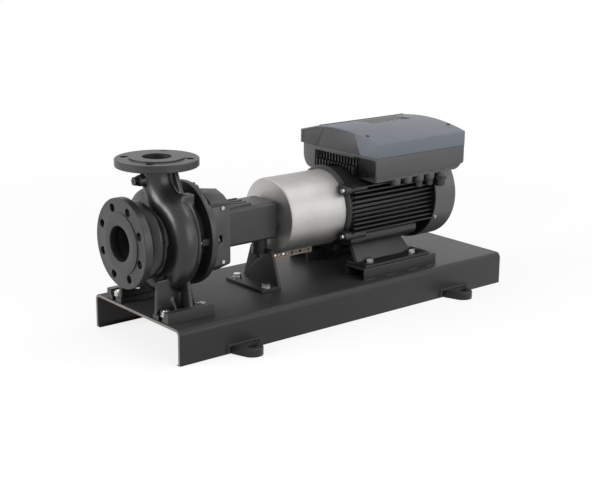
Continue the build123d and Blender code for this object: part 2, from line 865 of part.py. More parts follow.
coupling_middle = (shaft_end_x + motor_shaft_x) / 2
pump_coupling_hub = coupling_hub(coupling_middle - spider_width / 2, -1, pump_shaft)
motor_coupling_hub = coupling_hub(coupling_middle + spider_width / 2, 1, motor_shaft)
with BuildPart() as coupling_ring:
    with BuildSketch(across(coupling_middle - spider_width / 2)):
        Circle(coupling_od / 2 - 1)
        Circle(motor_shaft / 2 + seat_gap, mode=Mode.SUBTRACT)
    extrude(amount=spider_width)

# Coupling guard: rolled shell, pressed front disc and perforated seam strip
shell_inner = guard_od / 2 - guard_sheet
with BuildPart() as guard_shell:
    with BuildSketch(across(guard_x + guard_lap)):
        Circle(guard_od / 2)
        Circle(shell_inner, mode=Mode.SUBTRACT)
    extrude(amount=guard_end_x - guard_x - guard_lap)
with BuildPart() as guard_front_disc:
    add(
        turned(
            [
                (guard_x, bearing_cover_od / 2 + seat_gap),
                (guard_x, guard_od / 2 - guard_bead),
                (guard_x + guard_bead / 3, guard_od / 2 - guard_bead / 3),
                (guard_x + guard_bead, guard_od / 2),
                (guard_x + guard_lap - seat_gap, guard_od / 2),
                (guard_x + guard_lap - seat_gap, shell_inner - seat_gap),
                (guard_x + guard_disc_width, shell_inner - seat_gap),
                (guard_x + guard_disc_width, shell_inner - seat_gap - guard_sheet),
                (guard_x + guard_bead, shell_inner - seat_gap - guard_sheet),
                (guard_x + guard_sheet, shell_inner - 2 * guard_bead),
                (guard_x + guard_sheet, bearing_cover_od / 2 + seat_gap),
            ]
        )
    )
seam_top = axis_z - guard_od / 2 - seat_gap
with BuildPart() as guard_seam_strip:
    with BuildSketch(side_plane(0)):
        with Locations((guard_x + guard_seam_start + guard_seam_length / 2, seam_top - guard_seam_drop / 2)):
            Rectangle(guard_seam_length, guard_seam_drop)
            with Locations((0, -guard_seam_drop / 10)):
                with GridLocations(guard_seam_pitch, 1, guard_seam_holes, 1):
                    Circle(guard_seam_hole / 2, mode=Mode.SUBTRACT)
                with GridLocations(guard_seam_pitch, 1, guard_seam_holes - 1, 1):
                    Circle(guard_seam_small_hole / 2, mode=Mode.SUBTRACT)
    extrude(amount=guard_sheet, both=True)

# Motor: shaft, end shield, finned body
fan_x = fan_cover_x + (fan_cover_length - fan_width) / 2
with BuildPart() as motor_shaft_bar:
    add(round_bar(across(motor_shaft_x), motor_shaft, body_end_x - motor_shaft_x))
    add(round_bar(across(body_end_x), motor_shaft * fan_bore_share, fan_x + fan_width - body_end_x))


with BuildPart() as motor_end_shield:
    add(
        turned(
            [
                (shield_x, motor_shaft / 2 + seat_gap),
                (shield_x, shield_od / 2 - shield_cone),
                (shield_x + shield_cone, shield_od / 2),
                (body_x, shield_od / 2),
                (body_x, motor_shaft / 2 + seat_gap),
            ]
        )
    )
    with BuildSketch(across(shield_x)):
        add(corner_bosses())
        Circle(guard_od / 2, mode=Mode.SUBTRACT)
    extrude(amount=shield_length)
    with BuildSketch(across(shield_x - shield_boss_reach)):
        add(corner_bosses())
        Circle(guard_od / 2 + shield_boss_reach / 2, mode=Mode.SUBTRACT)
    extrude(amount=shield_boss_reach)
    with BuildSketch(across(shoulder_x + 2)):
        Circle(shield_spigot_od / 2)
        Circle(motor_shaft / 2 + seat_gap, mode=Mode.SUBTRACT)
    extrude(amount=shield_back - 2)

with BuildPart() as motor_body:
    with BuildSketch(across(body_x)):
        Circle(motor_body_od / 2)
        for level in range(-lower_fins, side_fins - lower_fins):
            with Locations((0, (level + 0.5) * fin_pitch)):
                Rectangle(2 * fin_reach, fin_thickness)
        with Locations((0, -fin_reach / 2)):
            with GridLocations(fin_pitch, 1, bottom_fins, 1):
                Rectangle(fin_thickness, fin_reach)
        Circle(motor_shaft / 2 + seat_gap, mode=Mode.SUBTRACT)
    extrude(amount=motor_body_length)
    with BuildSketch(across(body_x)):
        add(corner_bosses())
        Circle(motor_body_od / 2 - 1, mode=Mode.SUBTRACT)
    extrude(amount=body_boss_length)
    with BuildSketch(across(body_x)):
        for side in (-1, 1):
            with Locations((side * pad_half_width * 0.75, (pad_top + pad_bottom) / 2)):
                RectangleRounded(pad_half_width / 2, pad_top - pad_bottom, (pad_top - pad_bottom) * 0.45)
    extrude(amount=pad_length)
    with BuildSketch(Plane.XY.offset(axis_z + motor_body_od / 4)):
        with Locations((drive_x + drive_length / 2 - pedestal_shift, 0)):
            RectangleRounded(pedestal_length, pedestal_width, pedestal_round)
    extrude(amount=pedestal_top - axis_z - motor_body_od / 4)
    add(round_bar(across(body_x), motor_shaft + 2 * seat_gap, motor_body_length), mode=Mode.SUBTRACT)

# Rear end shield, fan and fan cover
cover_inner = fan_cover_od / 2 - fan_cover_sheet
with BuildPart() as motor_rear_shield:
    add(round_bar(across(body_end_x), 2 * (cover_inner - seat_gap), rear_shield_length))
    add(
        round_bar(across(body_end_x), motor_shaft * fan_bore_share + 2 * seat_gap, rear_shield_length),
        mode=Mode.SUBTRACT,
    )
with BuildPart() as fan:
    with BuildSketch(across(fan_x)):
        Circle(motor_shaft * 0.8)
    extrude(amount=fan_width)
    with BuildSketch(across(fan_x)):
        Circle(fan_od * 0.45)
    extrude(amount=fan_cover_sheet)
    with BuildSketch(across(fan_x)):
        with PolarLocations(fan_od / 4, fan_blades):
            Rectangle(fan_od / 2, fan_cover_sheet)
    extrude(amount=fan_width)
    add(round_bar(across(fan_x), motor_shaft * fan_bore_share + 2 * seat_gap, fan_width), mode=Mode.SUBTRACT)

with BuildPart() as fan_cover:
    with BuildSketch(across(fan_cover_x)):
        Circle(fan_cover_od / 2)
    extrude(amount=fan_cover_length)
    fillet(fan_cover.edges().filter_by(GeomType.CIRCLE).sort_by(Axis.X)[-1], radius=fan_cover_round)
    offset(amount=-fan_cover_sheet, openings=fan_cover.faces().sort_by(Axis.X)[0])
    ring_pitch = (fan_cover_od / 2 - fan_cover_round - motor_shaft / 2) / grille_rings
    rear_plane = across(fan_cover_x + fan_cover_length - fan_cover_sheet)
    with BuildSketch(rear_plane):
        for n in reversed(range(grille_rings)):
            inner = motor_shaft / 2 + n * ring_pitch
            Circle(inner + ring_pitch * grille_open_share)
            Circle(inner, mode=Mode.SUBTRACT)
        Rectangle(fan_cover_od, grille_bar, mode=Mode.SUBTRACT)
        Rectangle(grille_bar, fan_cover_od, mode=Mode.SUBTRACT)
    extrude(amount=fan_cover_sheet, mode=Mode.SUBTRACT)


# Rails on the base frame and the motor's feet on them
def rail(side):
    """Channel rail, open below and at both ends, on the left (+1) or right (-1)."""
    middle_y = side * (rail_inner + rail_width / 2)
    with BuildPart() as channel:
        with BuildSketch(cross_plane(rail_x)):
            with Locations((middle_y, frame_height + rail_height / 2)):
                Rectangle(rail_width, rail_height)
        extrude(amount=rail_length)
        fillet(channel.edges().filter_by(Axis.X).group_by(Axis.Z)[-1], radius=rail_sheet * 0.6)
        with BuildSketch(cross_plane(rail_x)):
            with Locations((middle_y, frame_height + (rail_height - rail_sheet) / 2)):
                Rectangle(rail_width - 2 * rail_sheet, rail_height - rail_sheet)
        extrude(amount=rail_length, mode=Mode.SUBTRACT)
    return channel.part


def motor_foot(side):
    """Foot bolted under the motor's side pad: plate on the rail and leaning web above it."""
    outer_y = side * (rail_inner + rail_width - rail_sheet)
    inner_y = side * rail_inner
    pad_under = axis_z + pad_bottom
    plate_top = rail_top + motor_foot_plate
    web_y = side * foot_web_top
    low_y = side * (foot_web_top + foot_web_lean)
    sheet = side * foot_web_sheet
    with BuildPart() as foot:
        with BuildSketch(Plane.XY.offset(rail_top)):
            with Locations((motor_foot_x + motor_foot_length / 2, (outer_y + inner_y) / 2)):
                Rectangle(motor_foot_length, abs(outer_y - inner_y))
            with Locations(
                (foot_bolt_x, side * motor_bolt_y / 2),
                (foot_bolt_x + motor_bolt_x, side * motor_bolt_y / 2),
            ):
                Circle(motor_bolt_hole / 2, mode=Mode.SUBTRACT)
        extrude(amount=motor_foot_plate)
        with BuildSketch(cross_plane(motor_foot_x + motor_foot_plate)):
            with BuildLine():
                Polyline(
                    (low_y - sheet, plate_top - 1),
                    (low_y, plate_top - 1),
                    (web_y, pad_under),
                    (web_y - sheet, pad_under),
                    close=True,
                )
            make_face()
        extrude(amount=foot_web_length)
        web_end = motor_foot_x + motor_foot_plate + foot_web_length
        end_cut = [
            (web_end, plate_top),
            (web_end + rail_height, plate_top),
            (web_end + rail_height, pad_under + 1),
            (web_end + foot_web_top_length - foot_web_length, pad_under + 1),
        ]
        add(plate(side_plane(low_y), end_cut, 4 * foot_web_lean), mode=Mode.SUBTRACT)
    return foot.part


# Frequency converter: housing, heatsink, lid, end panel and display
def drive_block(low, high):
    """Upright block of the converter's outline between two heights."""
    with BuildPart() as block:
        with BuildSketch(Plane.XY.offset(low)):
            with Locations((drive_x + drive_length / 2, 0)):
                RectangleRounded(drive_length, 2 * drive_half_width, drive_round)
        extrude(amount=high - low)
    return block.part


entry_top = drive_bottom + drive_wall
with BuildPart() as drive_housing:
    add(drive_block(drive_bottom, drive_seam))
    with BuildSketch(side_plane(0)) as rear_corner:
        with Locations((drive_end_x - drive_corner / 2, drive_bottom + drive_corner / 2)):
            Rectangle(drive_corner, drive_corner)
        with Locations((drive_end_x - drive_corner, drive_bottom + drive_corner)):
            Circle(drive_corner, mode=Mode.SUBTRACT)
    extrude(amount=drive_half_width, both=True, mode=Mode.SUBTRACT)
    with BuildSketch(cross_plane(drive_x)) as far_corner:
        with Locations((drive_half_width - drive_corner / 2, drive_bottom + drive_corner / 2)):
            Rectangle(drive_corner, drive_corner)
        with Locations((drive_half_width - drive_corner, drive_bottom + drive_corner)):
            Circle(drive_corner, mode=Mode.SUBTRACT)
    extrude(amount=drive_length, mode=Mode.SUBTRACT)
    add(round_bar(across(drive_x), 2 * front_arch, drive_length), mode=Mode.SUBTRACT)
    add(round_bar(across(fan_cover_x - arch_gap), 2 * cover_arch, drive_length), mode=Mode.SUBTRACT)
    with BuildSketch(Plane.XY.offset(drive_bottom)):
        with BuildLine():
            Polyline(
                (drive_x, drive_turn_side),
                (drive_x + drive_turn, drive_half_width),
                (drive_x, drive_half_width),
                close=True,
            )
        make_face()
    extrude(amount=housing_depth, mode=Mode.SUBTRACT)
    with BuildSketch(cross_plane(drive_x)):
        with Locations((drive_band_depth / 2 - drive_half_width, drive_bottom + drive_band / 2)):
            Rectangle(drive_band_depth, drive_band)
    extrude(amount=drive_length, mode=Mode.SUBTRACT)
    with BuildSketch(cross_plane(drive_x)):
        with Locations(((window_left + window_right) / 2, (window_top + drive_bottom) / 2)):
            Rectangle(window_left - window_right, window_top - drive_bottom)
    extrude(amount=heatsink_length, mode=Mode.SUBTRACT)
    with BuildSketch(Plane.XY.offset(axis_z)):
        with Locations((drive_x + drive_length / 2 - pedestal_shift, 0)):
            RectangleRounded(
                pedestal_length + 2 * seat_gap, pedestal_width + 2 * seat_gap, pedestal_round + seat_gap
            )
    extrude(amount=pedestal_top - axis_z, mode=Mode.SUBTRACT)
    for place in blank_places + gland_places:
        with BuildSketch(Plane(origin=(drive_x + place, -entry_row, entry_top), x_dir=(1, 0, 0), z_dir=(0, 0, -1))):
            Circle(entry_boss / 2)
        extrude(amount=entry_boss_drop + drive_wall)

window_middle = (window_left + window_right) / 2
fin_step = (window_left - window_right) / heatsink_fins
with BuildPart() as drive_heatsink:
    with BuildSketch(cross_plane(drive_x + heatsink_step)):
        with Locations((window_middle, window_top - heatsink_fin / 2)):
            Rectangle(window_left - window_right, heatsink_fin)
        with Locations((window_middle, (window_top + drive_bottom) / 2)):
            with GridLocations(fin_step, 1, heatsink_fins, 1):
                Rectangle(heatsink_fin, window_top - drive_bottom)
    extrude(amount=heatsink_length - heatsink_step)
    step_top = drive_seam - heatsink_step_drop
    with BuildSketch(cross_plane(drive_x + heatsink_inset)):
        with Locations((window_middle, (step_top + drive_bottom) / 2)):
            with GridLocations(fin_step, 1, heatsink_fins, 1):
                Rectangle(heatsink_fin, step_top - drive_bottom)
    extrude(amount=heatsink_step)
    add(round_bar(across(drive_x), 2 * front_arch, heatsink_length), mode=Mode.SUBTRACT)


def lid_arc(drop):
    """The lid's upper outline, lowered by drop and closed along the seam."""
    with BuildSketch() as outline:
        with BuildLine():
            Polyline(
                (-drive_half_width, drive_edge - drop),
                (-drive_half_width, drive_seam),
                (drive_half_width, drive_seam),
                (drive_half_width, drive_edge - drop),
            )
            ThreePointArc(
                (drive_half_width, drive_edge - drop),
                (0, drive_crown - drop),
                (-drive_half_width, drive_edge - drop),
            )
        make_face()
    return outline.sketch


def panel_outline(shrink):
    """Outline of the end panel between its left side and the lean on the right."""
    with BuildSketch() as outline:
        add(lid_arc(panel_top_margin + shrink))
        with BuildLine():
            Polyline(
                (panel_left - shrink, drive_seam),
                (panel_left - shrink, drive_crown),
                (panel_right_top + shrink, drive_crown),
                (panel_right_bottom + shrink, drive_seam),
                close=True,
            )
        make_face(mode=Mode.INTERSECT)
    return outline.sketch


# The lid's top is one arc across the converter
with BuildPart() as drive_lid:
    with BuildSketch(cross_plane(drive_x)):
        add(lid_arc(0))
    extrude(amount=drive_length)
    fillet(drive_lid.edges().filter_by(Axis.Z), radius=drive_round)
    with BuildSketch(cross_plane(drive_x)):
        add(panel_outline(0))
    extrude(amount=end_panel + end_panel_gap, mode=Mode.SUBTRACT)
    display_floor = drive_crown - display_depth - 1
    with BuildSketch(Plane.XY.offset(display_floor)):
        with Locations((drive_x + display_place, display_side)):
            RectangleRounded(display_length, display_width, display_depth)
    extrude(amount=drive_crown - display_floor, mode=Mode.SUBTRACT)
    strip_floor = Plane.XY.offset(drive_edge + top_strip_floor)
    with BuildSketch(strip_floor):
        with Locations((drive_x + drive_length / 2, top_strip_side)):
            Rectangle(
                drive_length - 2 * (top_strip_front - seat_gap), top_strip_width + 2 * seat_gap
            )
    extrude(amount=lid_rise, mode=Mode.SUBTRACT)

with BuildPart() as drive_end_panel:
    with BuildSketch(cross_plane(drive_x + end_panel_gap)):
        add(panel_outline(seat_gap))
    extrude(amount=end_panel)
    split_lean = atan2(panel_split_bottom - panel_split_top, drive_crown - drive_seam)
    split_middle = ((panel_split_top + panel_split_bottom) / 2, (drive_crown + drive_seam) / 2)
    with BuildSketch(cross_plane(drive_x + end_panel_gap)):
        with Locations(Location(split_middle, degrees(split_lean))):
            Rectangle(end_panel_gap, 2 * (drive_crown - drive_seam))
    extrude(amount=end_panel_gap, mode=Mode.SUBTRACT)

# Dark strip let into the left side of the lid's top
with BuildPart() as drive_top_strip:
    with BuildSketch(strip_floor):
        with Locations((drive_x + drive_length / 2, top_strip_side)):
            Rectangle(drive_length - 2 * top_strip_front, top_strip_width)
    extrude(amount=top_strip_height)
    fillet(drive_top_strip.edges().filter_by(Axis.X).group_by(Axis.Z)[-1], radius=2)

with BuildPart() as drive_display:
    with BuildSketch(Plane.XY.offset(display_floor)):
        with Locations((drive_x + display_place, display_side)):
            RectangleRounded(
                display_length - 2 * seat_gap, display_width - 2 * seat_gap, display_depth - seat_gap
            )
    extrude(amount=display_depth - 1)


def entry_plane(place):
    """Face of a cable entry boss, looking down."""
    height = drive_bottom - entry_boss_drop
    return Plane(origin=(drive_x + place, -entry_row, height), x_dir=(1, 0, 0), z_dir=(0, 0, -1))


def cable_gland(place, size):
    """Cable gland: hexagon body and domed nut, closed by its dust plug."""
    face = entry_plane(place)
    with BuildPart() as gland:
        with BuildSketch(face):
            RegularPolygon(size * gland_hexagon, 6)
        extrude(amount=size * gland_hexagon_length)
        with BuildSketch(face.offset(size * gland_hexagon_length)):
            Circle(size / 2)
        extrude(amount=size * gland_nut_length)
        fillet(gland.faces().sort_by(Axis.Z)[0].outer_wire().edges(), radius=size * gland_round)
    return gland.part


def entry_blank(place):
    """Flat blanking plug screwed into an unused cable entry."""
    with BuildPart() as blank:
        with BuildSketch(entry_plane(place)):
            Circle(entry_boss / 2 - 2)
        extrude(amount=blank_height)
        chamfer(blank.faces().sort_by(Axis.Z)[0].outer_wire().edges(), length=1)
    return blank.part


def hex_plug(plane):
    """Hexagon head plug seated on a boss face."""
    with BuildPart() as plug:
        with BuildSketch(plane):
            Circle(neck_boss_od / 2 - 2)
        extrude(amount=2)
        with BuildSketch(plane.offset(2)):
            RegularPolygon(plug_across / 2, 6, major_radius=False)
        extrude(amount=plug_length - 2)
    return plug.part


# Every piece by its name
pieces = {
    "base_frame": base_frame.part,
    "anchor_lug_front_left": anchor_lug(frame_front + lug_first, 1),
    "anchor_lug_front_right": anchor_lug(frame_front + lug_first, -1),
    "anchor_lug_rear_left": anchor_lug(frame_front + lug_first + lug_spacing_x, 1),
    "anchor_lug_rear_right": anchor_lug(frame_front + lug_first + lug_spacing_x, -1),
    "volute_casing": volute_casing.part,
    "neck_plug": hex_plug(Plane(origin=neck_boss_plane.origin, x_dir=(0, 1, 0), z_dir=(-1, 0, 0))),
    "drain_plug": hex_plug(Plane(origin=drain_plane.origin, x_dir=(1, 0, 0), z_dir=(0, 0, -1))),
    "impeller": impeller.part,
    "impeller_nut": impeller_nut.part,
    "pump_shaft": shaft.part,
    "casing_cover": casing_cover.part,
    "bearing_bracket": bearing_bracket.part,
    "lantern_cover_left": window_cover(1),
    "lantern_cover_right": window_cover(-1),
    "bearing_housing": bearing_housing.part,
    "bearing_cover": bearing_cover.part,
    "support_foot": support_foot.part,
    "pump_coupling_hub": pump_coupling_hub,
    "motor_coupling_hub": motor_coupling_hub,
    "coupling_ring": coupling_ring.part,
    "guard_shell": guard_shell.part,
    "guard_front_disc": guard_front_disc.part,
    "guard_seam_strip": guard_seam_strip.part,
    "motor_shaft": motor_shaft_bar.part,
    "motor_end_shield": motor_end_shield.part,
    "motor_body": motor_body.part,
    "motor_rear_shield": motor_rear_shield.part,
    "fan": fan.part,
    "fan_cover": fan_cover.part,
    "rail_left": rail(1),
    "rail_right": rail(-1),
    "motor_foot_left": motor_foot(1),
    "motor_foot_right": motor_foot(-1),
    "drive_housing": drive_housing.part,
    "drive_heatsink": drive_heatsink.part,
    "drive_lid": drive_lid.part,
    "drive_end_panel": drive_end_panel.part,
    "drive_top_strip": drive_top_strip.part,
    "drive_display": drive_display.part,
}
for number, (place, size) in enumerate(zip(gland_places, gland_sizes), start=1):
    pieces[f"cable_gland_{number}"] = cable_gland(place, size)
for number, place in enumerate(blank_places, start=1):
    pieces[f"entry_blank_{number}"] = entry_blank(place)

os.makedirs("parts", exist_ok=True)
for name, piece in pieces.items():
    piece.label = name
    export_step(piece, f"parts/{name}.step")
print(len(pieces), "pieces written")
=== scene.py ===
import json
import random
from math import atan2, cos, pi, radians, sin, sqrt

import bmesh
import bpy
from mathutils import Matrix, Vector


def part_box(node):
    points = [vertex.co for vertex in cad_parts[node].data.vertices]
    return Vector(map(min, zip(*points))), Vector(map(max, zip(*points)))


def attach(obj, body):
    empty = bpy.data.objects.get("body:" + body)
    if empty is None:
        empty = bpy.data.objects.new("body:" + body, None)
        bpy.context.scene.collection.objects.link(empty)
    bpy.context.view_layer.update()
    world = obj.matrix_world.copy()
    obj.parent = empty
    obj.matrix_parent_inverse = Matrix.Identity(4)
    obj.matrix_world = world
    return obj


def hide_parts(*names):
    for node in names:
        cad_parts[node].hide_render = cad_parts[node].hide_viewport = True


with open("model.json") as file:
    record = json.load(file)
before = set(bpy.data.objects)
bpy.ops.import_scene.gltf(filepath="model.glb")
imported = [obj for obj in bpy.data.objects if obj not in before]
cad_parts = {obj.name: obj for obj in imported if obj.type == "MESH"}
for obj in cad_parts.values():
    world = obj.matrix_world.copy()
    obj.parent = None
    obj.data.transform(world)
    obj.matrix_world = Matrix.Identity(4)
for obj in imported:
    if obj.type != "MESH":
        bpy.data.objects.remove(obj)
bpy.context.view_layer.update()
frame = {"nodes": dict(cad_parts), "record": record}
nodes = frame["nodes"]
scene = bpy.context.scene
mm = 0.001  # sizes in the dictionaries below are in millimetres
print("frame loaded:", len(nodes), "nodes")


def hexColour(text):
    # sRGB hex to the linear colour that a node's socket takes
    channels = [int(text[i:i + 2], 16) / 255 for i in (1, 3, 5)]
    return (*[c / 12.92 if c <= 0.04045 else ((c + 0.055) / 1.055) ** 2.4 for c in channels], 1.0)


def addNode(tree, kind, inputs=None, **settings):
    # one node with its settings; an input takes a value, a socket, or a node for its first live output
    made = tree.nodes.new(kind)
    for name, value in settings.items():
        setattr(made, name, value)
    for key, value in (inputs or {}).items():
        if isinstance(value, bpy.types.Node):
            value = next(output for output in value.outputs if output.enabled)
        if isinstance(value, bpy.types.NodeSocket):
            tree.links.new(value, made.inputs[key])
        else:
            made.inputs[key].default_value = value
    return made


# ---- finishes

variation = {  # what every finish of a kind shares
    "coatGlossier": 0.06, "coatDuller": 0.08,  # how far the roughness goes either way
    "metalGlossier": 0.05, "metalDuller": 0.07,
    "lineFrom": 0.7, "lineTo": 1.3, "lineDepthMm": 0.2}


def newFinish(name):
    made = bpy.data.materials.new(name)
    made.use_nodes = True
    made.node_tree.nodes.clear()
    return made, made.node_tree


def closeFinish(tree, shader):
    addNode(tree, "ShaderNodeOutputMaterial", {"Surface": shader})


def paintedFinish(name, look):
    # Paint, powder coat or moulded plastic: the coat evens the colour out, and what the eye sees is
    # a slow mottling, a fine grain under the gloss, and, where an edge colour is given, convex edges made
    # paler: a painted highlight, which also stands for the thinner coat there
    made, tree = newFinish(name)
    place = addNode(tree, "ShaderNodeTexCoord").outputs["Object"]
    mottling = addNode(tree, "ShaderNodeTexNoise", {
        "Vector": place, "Scale": 1000 / look["mottlingMm"], "Detail": 3.0, "Roughness": 0.55})
    grain = addNode(tree, "ShaderNodeTexNoise", {
        "Vector": place, "Scale": 1000 / look["grainMm"], "Detail": 2.0, "Roughness": 0.6})
    colour = addNode(tree, "ShaderNodeMix", {
        "Factor": mottling, "A": hexColour(look["dark"]), "B": hexColour(look["light"])}, data_type="RGBA")
    # edge colour on convex edges: a painted highlight, partly the thinner coat there
    if "edge" in look:
        surface = addNode(tree, "ShaderNodeNewGeometry")
        edgeHighlight = addNode(tree, "ShaderNodeMapRange", {
            "Value": surface.outputs["Pointiness"],
            "From Min": look["edgeFrom"], "From Max": look["edgeTo"]})
        # the grain breaks up the painted edge highlight
        rubbed = addNode(tree, "ShaderNodeMath", {0: edgeHighlight, 1: grain}, operation="MULTIPLY")
        colour = addNode(tree, "ShaderNodeMix", {
            "Factor": rubbed, "A": colour, "B": hexColour(look["edge"])}, data_type="RGBA")
    sheen = addNode(tree, "ShaderNodeMapRange", {
        "Value": grain, "To Min": look["roughness"] - variation["coatGlossier"],
        "To Max": look["roughness"] + variation["coatDuller"]})
    relief = addNode(tree, "ShaderNodeBump", {
        "Height": grain, "Strength": look["reliefStrength"], "Distance": look["reliefMm"] * mm})
    shader = addNode(tree, "ShaderNodeBsdfPrincipled", {
        "Base Color": colour, "Roughness": sheen, "Specular IOR Level": look.get("specular", 0.5),
        "Normal": relief, "IOR": 1.5})
    closeFinish(tree, shader)
    return made


castPaint = paintedFinish("satin paint on machined casting", {
    "dark": "#2a2a2b", "light": "#323233", "roughness": 0.40, "mottlingMm": 60, "grainMm": 5,
    "reliefStrength": 0.15, "reliefMm": 0.4})
# its edge colour makes the body's convex edges paler: a painted highlight, partly thinner paint
castSkinPaint = paintedFinish("satin paint on sand-cast iron", {
    "dark": "#222223", "light": "#2b2b2c", "edge": "#77777a", "edgeFrom": 0.52, "edgeTo": 0.60,
    "roughness": 0.33, "mottlingMm": 60, "grainMm": 5, "reliefStrength": 0.35, "reliefMm": 0.5})
# the bare iron of the passages is dark, and this near-black is also painted shade for the deep bores and
# gaps
castInsideShade = paintedFinish("dark iron passage, near-black as painted shade", {
    "dark": "#0c0c0c", "light": "#131313", "roughness": 0.6, "mottlingMm": 30, "grainMm": 4,
    "reliefStrength": 0.4, "reliefMm": 0.4})
framePaint = paintedFinish("satin paint on steel plate", {
    "dark": "#343435", "light": "#3d3d3f", "roughness": 0.42, "specular": 0.22, "mottlingMm": 140,
    "grainMm": 7, "reliefStrength": 0.12, "reliefMm": 0.3})
coverPaint = paintedFinish("satin paint on sheet", {
    "dark": "#3f3f41", "light": "#464648", "roughness": 0.42, "mottlingMm": 90, "grainMm": 6,
    "reliefStrength": 0.1, "reliefMm": 0.2})
motorPaint = paintedFinish("near-black paint on cast aluminium", {
    "dark": "#121213", "light": "#1a1a1b", "roughness": 0.40, "mottlingMm": 50, "grainMm": 4,
    "reliefStrength": 0.2, "reliefMm": 0.3})
fanCoverPaint = paintedFinish("satin paint on pressed sheet", {
    "dark": "#565658", "light": "#5c5c5e", "roughness": 0.38, "mottlingMm": 100, "grainMm": 6,
    "reliefStrength": 0.08, "reliefMm": 0.2})
drivePaint = paintedFinish("powder coat on die casting", {
    "dark": "#4e4e50", "light": "#545456", "roughness": 0.5, "mottlingMm": 90, "grainMm": 3,
    "reliefStrength": 0.15, "reliefMm": 0.2})
lidPlastic = paintedFinish("moulded PC-ABS, blue-grey", {
    "dark": "#747982", "light": "#797e87", "roughness": 0.46, "specular": 0.4, "mottlingMm": 120,
    "grainMm": 2.5, "reliefStrength": 0.1, "reliefMm": 0.1})
panelPlastic = paintedFinish("moulded PC-ABS, dark grey", {
    "dark": "#3d3d3e", "light": "#424243", "roughness": 0.5, "mottlingMm": 100, "grainMm": 2.5,
    "reliefStrength": 0.1, "reliefMm": 0.1})
glandPlastic = paintedFinish("moulded polyamide, black", {
    "dark": "#161617", "light": "#1d1d1e", "roughness": 0.42, "mottlingMm": 20, "grainMm": 2,
    "reliefStrength": 0.1, "reliefMm": 0.1})
couplingRubber = paintedFinish("moulded rubber", {
    "dark": "#1d1d1d", "light": "#232323", "roughness": 0.7, "mottlingMm": 20, "grainMm": 2,
    "reliefStrength": 0.2, "reliefMm": 0.2})
finBlack = paintedFinish("black anodised aluminium", {
    "dark": "#161617", "light": "#1c1c1d", "roughness": 0.45, "mottlingMm": 40, "grainMm": 3,
    "reliefStrength": 0.1, "reliefMm": 0.1})
displayGloss = paintedFinish("dark polycarbonate window", {
    "dark": "#1c1d1f", "light": "#202123", "roughness": 0.3, "specular": 0.12, "mottlingMm": 60,
    "grainMm": 30, "reliefStrength": 0.02, "reliefMm": 0.1})
seamPrimer = paintedFinish("primed perforated sheet", {
    "dark": "#85796c", "light": "#9c9183", "roughness": 0.5, "mottlingMm": 10, "grainMm": 3,
    "reliefStrength": 0.2, "reliefMm": 0.2})


def metalFinish(name, look):
    # Bare or plated steel: full metal, its lines run one way and blur the reflections across them
    made, tree = newFinish(name)
    place = addNode(tree, "ShaderNodeTexCoord").outputs["Object"]
    stretched = addNode(tree, "ShaderNodeMapping", {"Vector": place, "Scale": look["stretch"]})
    lines = addNode(tree, "ShaderNodeTexNoise", {
        "Vector": stretched, "Scale": 1000 / look["lineMm"], "Detail": 3.0, "Roughness": 0.65})
    blotches = addNode(tree, "ShaderNodeTexNoise", {
        "Vector": place, "Scale": 1000 / look["blotchMm"], "Detail": 2.0})
    both = addNode(tree, "ShaderNodeMath", {0: lines, 1: blotches}, operation="ADD")
    tones = addNode(tree, "ShaderNodeMapRange", {
        "Value": both, "From Min": variation["lineFrom"], "From Max": variation["lineTo"]})
    colour = addNode(tree, "ShaderNodeMix", {
        "Factor": tones, "A": hexColour(look["dark"]), "B": hexColour(look["light"])}, data_type="RGBA")
    sheen = addNode(tree, "ShaderNodeMapRange", {
        "Value": lines, "To Min": look["roughness"] - variation["metalGlossier"],
        "To Max": look["roughness"] + variation["metalDuller"]})
    relief = addNode(tree, "ShaderNodeBump", {
        "Height": lines, "Strength": look["reliefStrength"], "Distance": variation["lineDepthMm"] * mm})
    shader = addNode(tree, "ShaderNodeBsdfPrincipled", {
        "Base Color": colour, "Metallic": 1.0, "Roughness": sheen, "Normal": relief})
    closeFinish(tree, shader)
    return made


guardSteel = metalFinish("brushed stainless sheet", {
    "dark": "#a9a7a5", "light": "#b6b4b2", "roughness": 0.52, "stretch": (0.03, 1.0, 1.0), "lineMm": 1.6,
    "blotchMm": 60, "reliefStrength": 0.12})
zincPlate = metalFinish("zinc-plated steel", {
    "dark": "#b4b2ac", "light": "#d6d4d0", "roughness": 0.3, "stretch": (1.0, 1.0, 1.0), "lineMm": 4,
    "blotchMm": 12, "reliefStrength": 0.1})
turnedSteel = metalFinish("turned steel", {
    "dark": "#8c8b88", "light": "#a3a29f", "roughness": 0.3, "stretch": (1.0, 0.1, 0.1), "lineMm": 1.5,
    "blotchMm": 40, "reliefStrength": 0.1})
darkSteel = metalFinish("phosphated steel", {
    "dark": "#3a3a39", "light": "#4b4b4a", "roughness": 0.42, "stretch": (1.0, 1.0, 1.0), "lineMm": 3,
    "blotchMm": 15, "reliefStrength": 0.15})
machinedIron = metalFinish("machined grey iron", {
    "dark": "#4d4c4a", "light": "#5f5e5c", "roughness": 0.4, "stretch": (1.0, 0.2, 0.2), "lineMm": 2,
    "blotchMm": 30, "reliefStrength": 0.15})

